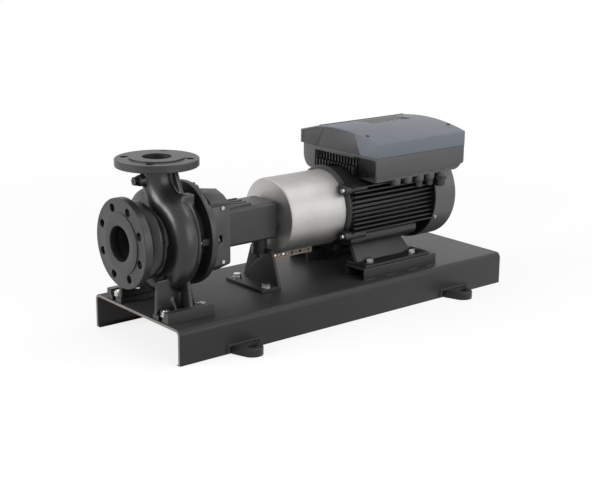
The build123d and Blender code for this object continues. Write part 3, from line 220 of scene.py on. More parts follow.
slotFinish = {
    "cast_paint": castPaint, "impeller_iron": machinedIron, "plain_steel": turnedSteel,
    "dark_steel": darkSteel, "frame_paint": framePaint, "cover_paint": coverPaint,
    "coupling_iron": machinedIron, "coupling_rubber": couplingRubber, "guard_steel": guardSteel,
    "seam_steel": seamPrimer,
    "motor_paint": motorPaint, "fan_plastic": glandPlastic, "fan_cover_paint": fanCoverPaint,
    "drive_paint": drivePaint, "heatsink_black": finBlack, "lid_plastic": lidPlastic,
    "panel_plastic": panelPlastic, "display_window": displayGloss, "gland_plastic": glandPlastic,
    "blank_plastic": glandPlastic, "zinc_steel": zincPlate}
nodeSlot = {entry["node"]: entry["material_slot"] for entry in frame["record"]["subparts"]}
for node, slot in nodeSlot.items():
    for place in nodes[node].material_slots:
        place.material = slotFinish[slot]
# cover, impeller and nut lie in shade behind the bores and in the gap: their near-black finish is painted
# shade
for node in ("casing_cover", "impeller", "impeller_nut"):
    for place in nodes[node].material_slots:
        place.material = castInsideShade
print("finishes on the CAD nodes")

# ---- making pieces, their sizes and places in mm

shaftZ, dischargeX = 240, -418  # height of the shaft, and place of the discharge along the set
up, towardsPump, towardsMotor = (0, 0, 1), (-1, 0, 0), (1, 0, 0)


def mergedMesh(node, flatAngle=0.5):
    # a CAD node's mesh is loose triangles, so its copy is merged, and flat faces are made whole again
    mesh = nodes[node].data.copy()
    work = bmesh.new()
    work.from_mesh(mesh)
    bmesh.ops.remove_doubles(work, verts=work.verts, dist=0.00001)
    bmesh.ops.dissolve_limit(work, angle_limit=radians(flatAngle), verts=work.verts, edges=work.edges)
    work.to_mesh(mesh)
    work.free()
    mesh.materials.clear()
    return mesh


def looseObject(name, mesh):
    made = bpy.data.objects.new(name, mesh)
    scene.collection.objects.link(made)
    return made


def takeResult(worked):
    # what the modifiers make of an object, as a plain mesh; the object itself goes
    graph = bpy.context.evaluated_depsgraph_get()
    mesh = bpy.data.meshes.new_from_object(worked.evaluated_get(graph))
    bpy.data.objects.remove(worked)
    return mesh


def addModifier(worked, kind, **settings):
    made = worked.modifiers.new(kind.lower(), kind)
    for name, value in settings.items():
        setattr(made, name, value)
    return made


def standPiece(name, mesh, slot, replaced=(), sharpAngle=35):
    # a finished piece: smooth but for its sharp edges, in its finish, riding on the set's one body
    if not mesh.materials:
        mesh.materials.append(slotFinish[slot])
    mesh.shade_smooth()
    mesh.set_sharp_from_angle(angle=radians(sharpAngle))
    made = looseObject(name, mesh)
    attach(made, "root")
    if replaced:
        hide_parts(*replaced)
    return made


def closedMesh(work):
    # the mesh of a solid under construction, with its faces turned outwards
    bmesh.ops.recalc_face_normals(work, faces=work.faces)
    mesh = bpy.data.meshes.new("solid")
    work.to_mesh(mesh)
    work.free()
    return mesh


def turnedMesh(profile, origin, axis, segments=96):
    # solid turned about an axis from (place along the axis, radius) points
    turn = Vector(up).rotation_difference(Vector(axis)).to_matrix()
    middle = Vector([c * mm for c in origin])
    angles = [2 * pi * n / segments for n in range(segments)]
    work = bmesh.new()
    rings = []
    for along, radius in profile:
        ring = [Vector((radius * mm * cos(a), radius * mm * sin(a), along * mm)) for a in angles]
        rings.append([work.verts.new(middle + turn @ point) for point in ring])
    for n, ring in enumerate(rings):
        following = rings[(n + 1) % len(rings)]
        for k in range(segments):
            after = (k + 1) % segments
            work.faces.new((ring[k], ring[after], following[after], following[k]))
    bmesh.ops.remove_doubles(work, verts=work.verts, dist=1e-7)
    return closedMesh(work)


def turnedBar(low, high, radius, origin, axis, segments=48):
    return turnedMesh([(low, 0), (low, radius), (high, radius), (high, 0)], origin, axis, segments)


def boxMesh(*spans):
    # box between its (low, high) places along X, Y and Z
    work = bmesh.new()
    bmesh.ops.create_cube(work, size=1.0)
    for vertex in work.verts:
        vertex.co = [(low + (high - low) * (c + 0.5)) * mm for (low, high), c in zip(spans, vertex.co)]
    return closedMesh(work)


def ringedMesh(rings):
    # solid through rings of points, capped at its two ends
    work = bmesh.new()
    rows = [[work.verts.new([v * mm for v in point]) for point in ring] for ring in rings]
    work.faces.new(rows[0])
    work.faces.new(rows[-1])
    for row, following in zip(rows, rows[1:]):
        for k in range(len(row)):
            after = (k + 1) % len(row)
            work.faces.new((row[k], row[after], following[after], following[k]))
    bmesh.ops.remove_doubles(work, verts=work.verts, dist=1e-6)
    return closedMesh(work)


def spannedMesh(first, last, along, low, high):
    # solid between two outlines with as many points, square to a direction at low and at high
    spread = {
        "x": lambda a, b, place: (place, a, b),
        "y": lambda a, b, place: (a, place, b),
        "z": lambda a, b, place: (a, b, place)}[along]
    ends = ((first, low), (last, high))
    return ringedMesh([[spread(a, b, place) for a, b in outline] for outline, place in ends])


def prismMesh(outline, along, low, high):
    return spannedMesh(outline, outline, along, low, high)


def joinedMesh(meshes):
    work = bmesh.new()
    for mesh in meshes:
        work.from_mesh(mesh)
    joined = bpy.data.meshes.new("joined")
    work.to_mesh(joined)
    work.free()
    return joined


def booleanMesh(mesh, helpers, operation="DIFFERENCE"):
    worked = looseObject("worked", mesh)
    helpers = [looseObject("helper", helper) for helper in helpers]
    for helper in helpers:
        addModifier(worked, "BOOLEAN", operation=operation, solver="EXACT", object=helper)
    result = takeResult(worked)
    for helper in helpers:
        bpy.data.objects.remove(helper)
    return result


def softenedMesh(mesh, voxel, rounds):
    # sand-cast corners: the form in voxels, then smoothed until its edges have the radius of a casting
    worked = looseObject("worked", mesh)
    addModifier(worked, "REMESH", mode="VOXEL", voxel_size=voxel * mm)
    addModifier(worked, "SMOOTH", factor=0.5, iterations=rounds)
    return takeResult(worked)


def bevelledMesh(mesh, width, segments=2, fromAngle=40):
    # sharp edges broken, so that they catch the light
    worked = looseObject("worked", mesh)
    addModifier(worked, "BEVEL", width=width * mm, segments=segments, limit_method="ANGLE",
                angle_limit=radians(fromAngle))
    return takeResult(worked)


# Volute casing: the cast body with its feet, joined from solids and softened, and two turned flanges
volute = {
    "side": 134, "bottom": 126, "far": 103, "top": 95,  # from the shaft's axis to the outside
    "lastShare": 0.9,  # radius of the last quarter, of the reach it has to cover
    "nose": 29, "neckHead": 37.5, "neckRise": 148, "voxel": 2.2, "rounds": 9}


def quarterMesh(centreY, centreZ, radius, firstAngle, steps=18):
    # a quarter turn of the volute, whose section ends in a round nose
    nose = volute["nose"]
    bends = [radians(-90 + 15 * n) for n in range(13)]
    section = [(0, -nose)] + [(radius - nose + nose * cos(a), nose * sin(a)) for a in bends] + [(0, nose)]
    rings = []
    for k in range(steps + 1):
        angle = radians(firstAngle + 90 * k / steps)
        rings.append([
            (dischargeX + across, centreY + reach * cos(angle), shaftZ + centreZ + reach * sin(angle))
            for reach, across in section])
    return ringedMesh(rings)


def voluteMeshes():
    # four quarter turns about shifted centres, each wider than the last
    shift = volute["bottom"] - volute["side"]
    farRadius = volute["far"] - shift
    farDrop = farRadius - volute["bottom"]
    topRadius = volute["top"] - farDrop
    topShift = volute["far"] - topRadius
    lastRadius = (volute["top"] + topShift) * volute["lastShare"]
    return [
        quarterMesh(shift, 0, volute["bottom"], 180), quarterMesh(shift, farDrop, farRadius, 270),
        quarterMesh(topShift, farDrop, topRadius, 0),
        quarterMesh(topShift, volute["top"] - lastRadius, lastRadius, 90)]


def neckMesh(steps=16, points=32):
    # S-bend of two arcs that widens from the throat to the discharge
    throat, rise = volute["side"] - volute["nose"], volute["neckRise"]
    bend = 2 * atan2(throat, rise)
    radius = rise / 2 / sin(bend)
    turns = [2 * pi * n / points for n in range(points)]
    rings = []
    for k in range(2 * steps + 1):
        lean = bend * min(k, 2 * steps - k) / steps
        aside, above = radius * (1 - cos(lean)), radius * sin(lean)
        y, z = (aside - throat, above) if k <= steps else (-aside, rise - above)
        wide = volute["nose"] + (volute["neckHead"] - volute["nose"]) * k / (2 * steps)
        rings.append([(
            dischargeX + wide * cos(t), y + wide * sin(t) * cos(lean),
            shaftZ + z - wide * sin(t) * sin(lean)) for t in turns])
    return ringedMesh(rings)


core = [  # x and radius of the body about the shaft, from the suction flange to the rim
    (-505, 0), (-505, 64), (-496, 66), (-470, 85), (-464, 88), (-462, 86), (-462, 77), (-446, 77),
    (-432, 111), (-394, 111), (-394, 117), (-393, 118), (-385, 118), (-384, 117), (-384, 0)]
flare = [  # z and radius, under the discharge flange
    (375, 0), (375, 37.5), (391, 37.5), (400, 46.5), (409, 46.5), (409, 0)]
plugBoss = {"radius": 13, "neckX": (-468, -425), "neckZ": 372, "drainX": -471, "drainZ": (144, 190)}
rimPad = {"x": (-408.5, -375.5), "y": (-80.6, -55.6), "z": (285, 345)}
neckWeb = {"x": (-404, -396), "yz": [(-32, 400), (-46, 400), (-72, 344), (-72, 320), (-32, 320)]}
foot = {
    "x": (-479, -357), "inner": 65, "outer": 123, "lip": 107, "bottom": 80, "seat": 91, "top": 104.5,
    "boltX": (-465.5, -370.5), "boltY": 94, "slot": 15, "spot": 12.5, "well": 14, "round": 2.2}
footWeb = {"y": (67, 77), "xz": [(-478, 88), (-373, 88), (-392, 166), (-474, 166)]}
footRib = {"x": (-415, -406), "yz": [(68, 88), (119, 88), (104, 166), (68, 166)]}
lowRib = {"x": (-438, -431), "yz": [(68, 88), (97, 88), (74, 126), (68, 126)]}
castParts = [
    turnedMesh(core, (0, 0, shaftZ), towardsMotor), turnedMesh(flare, (dischargeX, 0, 0), up),
    *voluteMeshes(), neckMesh(),
    turnedBar(*plugBoss["neckX"], plugBoss["radius"], (0, 0, plugBoss["neckZ"]), towardsMotor),
    turnedBar(*plugBoss["drainZ"], plugBoss["radius"], (plugBoss["drainX"], 0, 0), up),
    boxMesh(rimPad["x"], rimPad["y"], rimPad["z"]), prismMesh(neckWeb["yz"], "x", *neckWeb["x"])]
for side in (-1, 1):
    castParts.append(prismMesh(footWeb["xz"], "y", *sorted(side * y for y in footWeb["y"])))
    for rib in (footRib, lowRib):
        castParts.append(prismMesh([(side * y, z) for y, z in rib["yz"]], "x", *rib["x"]))
hollow = [  # x and radius of the passage from the suction flange to the casing cover
    (-530, 0), (-530, 40.6), (-464, 40.6), (-442, 74.5), (-396, 74.5), (-396, 81), (-380, 81), (-380, 0)]
dischargePassage = {"z": (335, 430), "radius": 33}
castBody = booleanMesh(softenedMesh(joinedMesh(castParts), volute["voxel"], volute["rounds"]), [
    turnedMesh(hollow, (0, 0, shaftZ), towardsMotor),
    turnedBar(*dischargePassage["z"], dischargePassage["radius"], (dischargeX, 0, 0), up)])


def footMesh(side):
    # slab with open-ended bolt slots, a thicker lip along its outer side and spot faces for the bolts
    bends = [radians(90 - 22.5 * n) for n in range(9)]
    half, row, clear = foot["slot"] / 2, foot["boltY"], 5
    left, right = foot["x"]
    outline = [(left, foot["inner"]), (right, foot["inner"]), (right, row - half)]
    outline += [(foot["boltX"][1] - half * cos(a), row - half * sin(a)) for a in bends]
    outline += [(right, row + half), (right, foot["outer"]), (left, foot["outer"]), (left, row + half)]
    outline += [(foot["boltX"][0] + half * cos(a), row + half * sin(a)) for a in bends]
    outline += [(left, row - half)]
    slab = prismMesh([(x, side * y) for x, y in outline], "z", foot["bottom"], foot["top"])
    overTop = foot["top"] + 2 * clear
    well = [
        (left + foot["well"], foot["inner"] - clear), (right + clear, foot["inner"] - clear),
        (right + clear, foot["lip"]), (left - clear, foot["lip"]), (left - clear, foot["inner"] - clear)]
    cuts = [prismMesh([(x, side * y) for x, y in well], "z", foot["seat"], overTop)]
    cuts += [turnedBar(foot["seat"], overTop, foot["spot"], (x, side * row, 0), up) for x in foot["boltX"]]
    return bevelledMesh(booleanMesh(slab, cuts), foot["round"])


flangeEdge = {"chamfer": 1.5, "round": 0.7, "fromAngle": 50}
drill = {"from": 10, "to": -40, "segments": 32}  # from over the face to under the flange


def flangeMesh(face, axis, sizes):
    # turned disc with its raised face, bored for the pipe and drilled for the bolts, its edges broken
    rim, rise, bore = sizes["od"] / 2, sizes["faceOd"] / 2, sizes["bore"] / 2
    back, ledge, chamfer = -sizes["thickness"], -sizes["raised"], flangeEdge["chamfer"]
    profile = [
        (0, bore), (0, rise), (ledge, rise), (ledge, rim - chamfer), (ledge - chamfer, rim),
        (back + chamfer, rim), (back, rim - chamfer), (back, bore)]
    turn = Vector(up).rotation_difference(Vector(axis)).to_matrix()
    middle = Vector([c * mm for c in face])
    drills = []
    for n in range(sizes["holes"]):
        angle = 2 * pi * (n + 0.5) / sizes["holes"]
        place = middle + turn @ Vector((cos(angle), sin(angle), 0)) * sizes["pcd"] / 2 * mm
        drills.append(turnedBar(
            drill["from"], drill["to"], sizes["hole"] / 2, [c / mm for c in place], axis, drill["segments"]))
    disc = booleanMesh(turnedMesh(profile, face, axis), drills)
    return bevelledMesh(disc, flangeEdge["round"], fromAngle=flangeEdge["fromAngle"])


suctionFlange = flangeMesh((-518, 0, shaftZ), towardsPump, {
    "od": 200, "thickness": 22, "raised": 3, "faceOd": 138, "bore": 80, "pcd": 160, "holes": 8, "hole": 19})
dischargeFlange = flangeMesh((dischargeX, 0, 420), up, {
    "od": 185, "thickness": 20, "raised": 3, "faceOd": 122, "bore": 65, "pcd": 145, "holes": 4, "hole": 19})
castFinishes = (castSkinPaint, castPaint, castInsideShade)
castPieces = [castBody, suctionFlange, dischargeFlange, footMesh(1), footMesh(-1)]
for piece in castPieces:
    for face in piece.polygons:
        face.material_index = castFinishes.index(castSkinPaint if piece is castBody else castPaint)
casingMesh = joinedMesh(castPieces)
for finish in castFinishes:
    casingMesh.materials.append(finish)
# faces inside the bores take the near-black finish: partly bare iron, partly painted shade
bores = {"suction": 40.5, "discharge": 33.1, "suctionTo": -430, "dischargeFrom": 360}  # seen from outside
for face in casingMesh.polygons:
    x, y, z = face.center / mm
    inSuction = (
        x < bores["suctionTo"] and sqrt(y ** 2 + (z - shaftZ) ** 2) < bores["suction"]
        and abs(face.normal.x) < 0.5)
    inDischarge = (
        z > bores["dischargeFrom"] and sqrt((x - dischargeX) ** 2 + y ** 2) < bores["discharge"]
        and abs(face.normal.z) < 0.5)
    if inSuction or inDischarge:
        face.material_index = castFinishes.index(castInsideShade)
standPiece("volute_casting", casingMesh, "cast_paint", ["volute_casing"])
print("casing:", len(casingMesh.polygons), "faces")

# Pressed, moulded or die-cast pieces that keep their CAD form, with their edges broken
edgeWidth = {
    "bearing_housing": 1.0, "anchor_lug_front_left": 0.8, "anchor_lug_front_right": 0.8,
    "anchor_lug_rear_left": 0.8, "anchor_lug_rear_right": 0.8, "rail_left": 0.8, "rail_right": 0.8,
    "drive_end_panel": 0.8, "motor_end_shield": 1.2, "motor_body": 0.5, "motor_foot_left": 1.2,
    "motor_foot_right": 1.2, "support_foot": 0.8, "drive_heatsink": 0.5}
for node, width in edgeWidth.items():
    standPiece(node + "_edges", bevelledMesh(mergedMesh(node), width), nodeSlot[node], [node])
print("edges broken on", len(edgeWidth), "pieces")

# Bearing bracket: turned flange and a tapering lantern with a hollow, side windows and a dished top
lantern = {
    "x": (-342, -290), "rise": 8, "hollowX": (-340, -300), "window": 52, "windowY": (-200, 200),
    "boreX": (-360, -280), "bore": 12.5, "round": 1.6}
bracketDisc = [  # x and radius
    (-356, 0), (-356, 117), (-355, 118), (-343, 118), (-342, 117), (-340, 117), (-340, 0)]


def aboutShaft(rightHalf):
    # outline across the set from its right half, whose heights are from the shaft's axis
    return [(y, shaftZ + z) for y, z in rightHalf + [(-y, z) for y, z in reversed(rightHalf)]]


def lanternOutline(rise):
    return aboutShaft([(40, -90), (90, -64), (90, 74 + rise), (68, 89 + rise), (40, 98 + rise), (40, 84)])


bracketMesh = booleanMesh(turnedMesh(bracketDisc, (0, 0, shaftZ), towardsMotor), [
    spannedMesh(lanternOutline(lantern["rise"]), lanternOutline(0), "x", *lantern["x"])], "UNION")
lanternHollow = aboutShaft([(38, -80), (81, -58), (81, 71), (38, 76)])
windowZ = (shaftZ - lantern["window"], shaftZ + lantern["window"])
bracketMesh = booleanMesh(bracketMesh, [
    prismMesh(lanternHollow, "x", *lantern["hollowX"]),
    boxMesh(lantern["hollowX"], lantern["windowY"], windowZ),
    turnedBar(*lantern["boreX"], lantern["bore"], (0, 0, shaftZ), towardsMotor)])
bracketMesh = bevelledMesh(bracketMesh, lantern["round"])
standPiece("bracket_casting", bracketMesh, "cast_paint", ["bearing_bracket"])

# Converter lid: a low crown with a sloping left shoulder, let in for the end panel, display and grating
lid = {
    "x": (102, 399), "half": 141, "seam": 371, "crown": 426, "arc": 532.7, "shoulderY": 84,
    "shoulderZ": 404.5, "round": 2.0}
endPanel = {
    "left": 134, "rightTop": -61, "rightBottom": -85, "margin": 2.5, "inset": 2, "depth": 5, "clear": 5}
display = {"x": (213, 343), "y": (-5, 53), "floor": 422}
grating = {"x": (111.3, 396.7), "y": (74.5, 81.5), "z": (414.5, 421.8), "gap": 0.4, "round": 1.2}
clearZ = 440  # over everything, for cuts from above


def crownLine(high, low, drop=0, steps=16):
    places = [high + (low - high) * n / steps for n in range(steps + 1)]
    return [(y, lid["crown"] - drop - lid["arc"] + sqrt(lid["arc"] ** 2 - y ** 2)) for y in places]


lidOutline = [(-lid["half"], lid["seam"]), (lid["half"], lid["seam"]), (lid["half"], lid["shoulderZ"])]
lidOutline += crownLine(lid["shoulderY"], -lid["half"])
underSeam, beforeLid = lid["seam"] - endPanel["clear"], lid["x"][0] - endPanel["clear"]
panelOutline = [
    (endPanel["rightBottom"], underSeam), (endPanel["left"], underSeam),
    (endPanel["left"], lid["shoulderZ"] - endPanel["inset"])]
panelOutline += crownLine(lid["shoulderY"] - endPanel["inset"], endPanel["rightTop"], endPanel["margin"])
grooveSpans = [(low - grating["gap"], high + grating["gap"]) for low, high in (grating["x"], grating["y"])]
lidMesh = booleanMesh(bevelledMesh(prismMesh(lidOutline, "x", *lid["x"]), lid["round"], 3), [
    prismMesh(panelOutline, "x", beforeLid, lid["x"][0] + endPanel["depth"]),
    boxMesh(display["x"], display["y"], (display["floor"], clearZ)),
    boxMesh(*grooveSpans, (grating["z"][0], clearZ))])
standPiece("lid_moulding", lidMesh, "lid_plastic", ["drive_lid"])
gratingMesh = bevelledMesh(boxMesh(grating["x"], grating["y"], grating["z"]), grating["round"])
standPiece("grating_strip", gratingMesh, nodeSlot["drive_top_strip"], ["drive_top_strip"])

# Converter housing: its front slopes in from the corner to the heatsink
slope = {"x": (102, 118), "y": (-137, -58), "z": (313.5, 366), "plate": 4, "plateGap": 0.2, "round": 1.6}
cutFrom = {"x": 96, "z": 300}  # outside the housing
corner, besideFins = zip(slope["x"], slope["y"])
wedge = [corner, (cutFrom["x"], corner[1]), (cutFrom["x"], besideFins[1]), besideFins]
slopeCut = prismMesh(wedge, "z", cutFrom["z"], slope["z"][1])
housingMesh = bevelledMesh(booleanMesh(mergedMesh("drive_housing"), [slopeCut]), slope["round"])
standPiece("housing_casting", housingMesh, "drive_paint", ["drive_housing"])
# a black plate on the slope: painted shade where the front lies in shadow under the panel
shadePlateOutline = [corner, besideFins] + [(x + slope["plate"], y) for x, y in (besideFins, corner)]
shadePlateMesh = prismMesh(shadePlateOutline, "z", slope["z"][0], slope["z"][1] - slope["plateGap"])
standPiece("slope_shade_plate", shadePlateMesh, "heatsink_black")
lamps = {"places": ((284, 5), (300, 6), (316, 8), (223, 28)), "z": (423.4, 424.5), "radius": 1.8}
lampMesh = joinedMesh([turnedBar(*lamps["z"], lamps["radius"], (x, y, 0), up) for x, y in lamps["places"]])
standPiece("display_lamps", lampMesh, "zinc_steel")
print("bracket and converter shaped")

# Base frame: bent plate, painted after bending, its two cut ends rubbed bare
cutEdge = paintedFinish("paint rubbed off a flame-cut edge", {
    "dark": "#6d665f", "light": "#978e84", "roughness": 0.5, "mottlingMm": 6, "grainMm": 2,
    "reliefStrength": 0.3, "reliefMm": 0.3})
frameForm = {"round": 0.9, "endNormal": 0.9}
frameMesh = mergedMesh("base_frame")
for finish in (framePaint, cutEdge):
    frameMesh.materials.append(finish)
for face in frameMesh.polygons:
    face.material_index = 1 if abs(face.normal.x) > frameForm["endNormal"] else 0
frameMesh = bevelledMesh(frameMesh, frameForm["round"])
standPiece("base_frame_plate", frameMesh, nodeSlot["base_frame"], ["base_frame"])

# Lantern covers: sheet with a hand slot at shaft height
coverSlot = {"x": (-320, -312), "z": (228.5, 245.5), "round": 0.8}
for node in ("lantern_cover_left", "lantern_cover_right"):
    low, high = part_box(node)
    cutter = boxMesh(coverSlot["x"], (low.y / mm - 1, high.y / mm + 1), coverSlot["z"])
    coverMesh = bevelledMesh(booleanMesh(mergedMesh(node), [cutter]), coverSlot["round"])
    standPiece(node + "_slotted", coverMesh, nodeSlot[node], [node])
print("frame and lantern covers finished")

# ---- screws, bolts and nuts

hexagonForm = {
    "topShare": 0.47,  # radius of the flat top, of the width across flats
    "chamferShare": 1.73,  # what the chamfer's cone widens by, of the head's height
    "threadClear": 0.0004}
socketForm = {"topShare": 0.44, "footShare": 0.5}  # radius of the head, of its width


def newTree(name, sizes):
    # tree with named inputs: its sizes in mm, and the finish
    tree = bpy.data.node_groups.new(name, "GeometryNodeTree")
    tree.interface.new_socket("Geometry", in_out="INPUT", socket_type="NodeSocketGeometry")
    for title, size in sizes.items():
        made = tree.interface.new_socket(title, in_out="INPUT", socket_type="NodeSocketFloat")
        made.default_value = size * mm
    tree.interface.new_socket("Finish", in_out="INPUT", socket_type="NodeSocketMaterial")
    tree.interface.new_socket("Geometry", in_out="OUTPUT", socket_type="NodeSocketGeometry")
    return tree, addNode(tree, "NodeGroupInput").outputs


def closeTree(tree, given, made):
    finished = addNode(tree, "GeometryNodeSetMaterial", {"Geometry": made, "Material": given["Finish"]})
    addNode(tree, "NodeGroupOutput", {"Geometry": finished})


def lifted(tree, mesh, height):
    offset = addNode(tree, "ShaderNodeCombineXYZ", {"Z": height})
    return addNode(tree, "GeometryNodeTransform", {"Geometry": mesh, "Translation": offset})


def placeFasteners(tree, given, part):
    # one fastener on every seat, its axis along the seat's facing and turned by the seat's spin
    facing = addNode(tree, "GeometryNodeInputNamedAttribute", {"Name": "facing"}, data_type="FLOAT_VECTOR")
    spin = addNode(tree, "GeometryNodeInputNamedAttribute", {"Name": "spin"}, data_type="FLOAT")
    aligned = addNode(tree, "FunctionNodeAlignRotationToVector", {"Vector": facing}, axis="Z")
    turn = addNode(tree, "FunctionNodeAxisAngleToRotation", {"Axis": up, "Angle": spin})
    rotation = addNode(tree, "FunctionNodeRotateRotation", {
        "Rotation": aligned, "Rotate By": turn}, rotation_space="LOCAL")
    placed = addNode(tree, "GeometryNodeInstanceOnPoints", {
        "Points": given["Geometry"], "Instance": part, "Rotation": rotation})
    closeTree(tree, given, addNode(tree, "GeometryNodeRealizeInstances", {"Geometry": placed}))


def hexagonTree():
    # hexagon head or nut with its chamfer, washer and the end of its thread
    tree, given = newTree("hexagon on a washer", {
        "Across Flats": 19, "Head Height": 8, "Washer Width": 24, "Washer Height": 2.5, "Thread Width": 12,
        "Thread Reach": 0})
    across, headHeight, washerHeight = given["Across Flats"], given["Head Height"], given["Washer Height"]
    atCorners = addNode(tree, "ShaderNodeMath", {0: across, 1: 1 / sqrt(3)}, operation="MULTIPLY")
    prism = addNode(tree, "GeometryNodeMeshCylinder", {
        "Vertices": 6, "Radius": atCorners, "Depth": headHeight})
    headMiddle = addNode(tree, "ShaderNodeMath", {0: headHeight, 1: 0.5}, operation="MULTIPLY")
    prism = lifted(tree, prism, headMiddle)
    atTop = addNode(tree, "ShaderNodeMath", {0: across, 1: hexagonForm["topShare"]}, operation="MULTIPLY")
    spread = addNode(tree, "ShaderNodeMath", {
        0: headHeight, 1: hexagonForm["chamferShare"]}, operation="MULTIPLY")
    atFoot = addNode(tree, "ShaderNodeMath", {0: atTop, 1: spread}, operation="ADD")
    cone = addNode(tree, "GeometryNodeMeshCone", {
        "Vertices": 24, "Radius Top": atTop, "Radius Bottom": atFoot, "Depth": headHeight})
    head = addNode(tree, "GeometryNodeMeshBoolean", {
        "Mesh 2": prism}, operation="INTERSECT", solver="EXACT")
    tree.links.new(cone.outputs["Mesh"], head.inputs["Mesh 2"])
    washerRadius = addNode(tree, "ShaderNodeMath", {0: given["Washer Width"], 1: 0.5}, operation="MULTIPLY")
    washer = addNode(tree, "GeometryNodeMeshCylinder", {
        "Vertices": 24, "Radius": washerRadius, "Depth": washerHeight})
    washerMiddle = addNode(tree, "ShaderNodeMath", {0: washerHeight, 1: 0.5}, operation="MULTIPLY")
    top = addNode(tree, "ShaderNodeMath", {0: washerHeight, 1: headHeight}, operation="ADD")
    reach = addNode(tree, "ShaderNodeMath", {0: top, 1: given["Thread Reach"]}, operation="ADD")
    depth = addNode(tree, "ShaderNodeMath", {0: reach, 1: hexagonForm["threadClear"]}, operation="SUBTRACT")
    threadRadius = addNode(tree, "ShaderNodeMath", {0: given["Thread Width"], 1: 0.5}, operation="MULTIPLY")
    thread = addNode(tree, "GeometryNodeMeshCylinder", {
        "Vertices": 16, "Radius": threadRadius, "Depth": depth})
    threadMiddle = addNode(tree, "ShaderNodeMath", {0: reach, 1: 0.5}, operation="MULTIPLY")
    whole = addNode(tree, "GeometryNodeJoinGeometry")
    for part in (
            lifted(tree, head, washerHeight), lifted(tree, washer, washerMiddle),
            lifted(tree, thread, threadMiddle)):
        tree.links.new(part.outputs["Geometry"], whole.inputs["Geometry"])
    placeFasteners(tree, given, whole)
    return tree


def socketTree():
    # cap screw: round head with a hexagon socket
    tree, given = newTree("socket cap screw", {"Head Width": 10, "Head Height": 5, "Socket Width": 5})
    width, height = given["Head Width"], given["Head Height"]
    atTop = addNode(tree, "ShaderNodeMath", {0: width, 1: socketForm["topShare"]}, operation="MULTIPLY")
    atFoot = addNode(tree, "ShaderNodeMath", {0: width, 1: socketForm["footShare"]}, operation="MULTIPLY")
    head = addNode(tree, "GeometryNodeMeshCone", {
        "Vertices": 24, "Radius Top": atTop, "Radius Bottom": atFoot, "Depth": height})
    atCorners = addNode(tree, "ShaderNodeMath", {
        0: given["Socket Width"], 1: 1 / sqrt(3)}, operation="MULTIPLY")
    recess = addNode(tree, "GeometryNodeMeshCylinder", {
        "Vertices": 6, "Radius": atCorners, "Depth": height})
    placeFasteners(tree, given, addNode(tree, "GeometryNodeMeshBoolean", {
        "Mesh 1": head, "Mesh 2": lifted(tree, recess, height)}, operation="DIFFERENCE"))
    return tree


def grownPiece(name, slot, tree, sizes, mesh, sharpAngle):
    # the piece that a tree grows on a mesh of points or edges
    worked = looseObject(name, mesh)
    modifier = addModifier(worked, "NODES", node_group=tree)
    for item in tree.interface.items_tree:
        if item.in_out == "INPUT" and item.name in sizes:
            modifier[item.identifier] = sizes[item.name] * mm
        if item.in_out == "INPUT" and item.name == "Finish":
            modifier[item.identifier] = slotFinish[slot]
    return standPiece(name, takeResult(worked), slot, sharpAngle=sharpAngle)


def fastenerRow(name, slot, tree, sizes, seats, seed=3):
    # seats are (place, facing); each fastener was tightened to its own angle
    chance = random.Random(seed)
    mesh = bpy.data.meshes.new(name)
    mesh.from_pydata([[c * mm for c in place] for place, facing in seats], [], [])
    mesh.attributes.new("facing", "FLOAT_VECTOR", "POINT")
    mesh.attributes.new("spin", "FLOAT", "POINT")
    mesh.attributes["facing"].data.foreach_set("vector", [c for place, facing in seats for c in facing])
    mesh.attributes["spin"].data.foreach_set("value", [chance.uniform(0, pi / 3) for seat in seats])
    return grownPiece(name, slot, tree, sizes, mesh, 25)


def bolt(across, head, washer, washerHeight=2.5, reach=0.0, threadShare=0.6):
    return {
        "Across Flats": across, "Head Height": head, "Washer Width": washer, "Washer Height": washerHeight,
        "Thread Width": across * threadShare, "Thread Reach": reach}


def capScrew(head, height, socket):
    return {"Head Width": head, "Head Height": height, "Socket Width": socket}


def onBothSides(row, facing):
    # seats at each of the row's x, on the far side and on the near one
    return [((x, side * row["y"], row["z"]), facing) for x in row["x"] for side in (-1, 1)]


def aroundShaft(row):
    # (place, direction away from the shaft) at each of the row's angles
    radius = row["radius"]
    outwards = [(cos(radians(angle)), sin(radians(angle))) for angle in row["angles"]]
    return [((row["x"], radius * y, shaftZ + radius * z), (0, y, z)) for y, z in outwards]


hexagon = hexagonTree()
socketCap = socketTree()
footBolts = {"x": foot["boltX"], "y": foot["boltY"], "z": foot["seat"]}
fastenerRow(
    "casing_foot_bolts", "zinc_steel", hexagon, bolt(19, 8.5, 23, reach=1.5), onBothSides(footBolts, up))
supportBolts = {"x": (-161,), "y": 56, "z": 87}
fastenerRow("support_foot_bolts", "zinc_steel", hexagon, bolt(17, 6.4, 21), onBothSides(supportBolts, up))
motorBolts = {"x": (115, 255), "y": 108, "z": 114}
fastenerRow("motor_foot_bolts", "zinc_steel", hexagon, bolt(17, 6.4, 21), onBothSides(motorBolts, up))
flangeNuts = {"x": -342, "radius": 108, "angles": (0, 74, 106, 180, 254, 286)}
fastenerRow("bracket_nuts", "dark_steel", hexagon, bolt(15, 7, 16, 1.0, 3), [
    (place, towardsMotor) for place, outwards in aroundShaft(flangeNuts)])
jackScrews = {"x": (-375,), "y": 99.5, "z": shaftZ}
fastenerRow(
    "jack_screws", "zinc_steel", hexagon, bolt(10, 6, 11, 0.5), onBothSides(jackScrews, towardsPump))
coverScrews = {"x": -312, "y": 93, "z": (185, 307)}
fastenerRow("lantern_cover_screws", "zinc_steel", socketCap, capScrew(9, 4, 4), [
    ((coverScrews["x"], side * coverScrews["y"], z), (0, side, 0))
    for side in (-1, 1) for z in coverScrews["z"]])
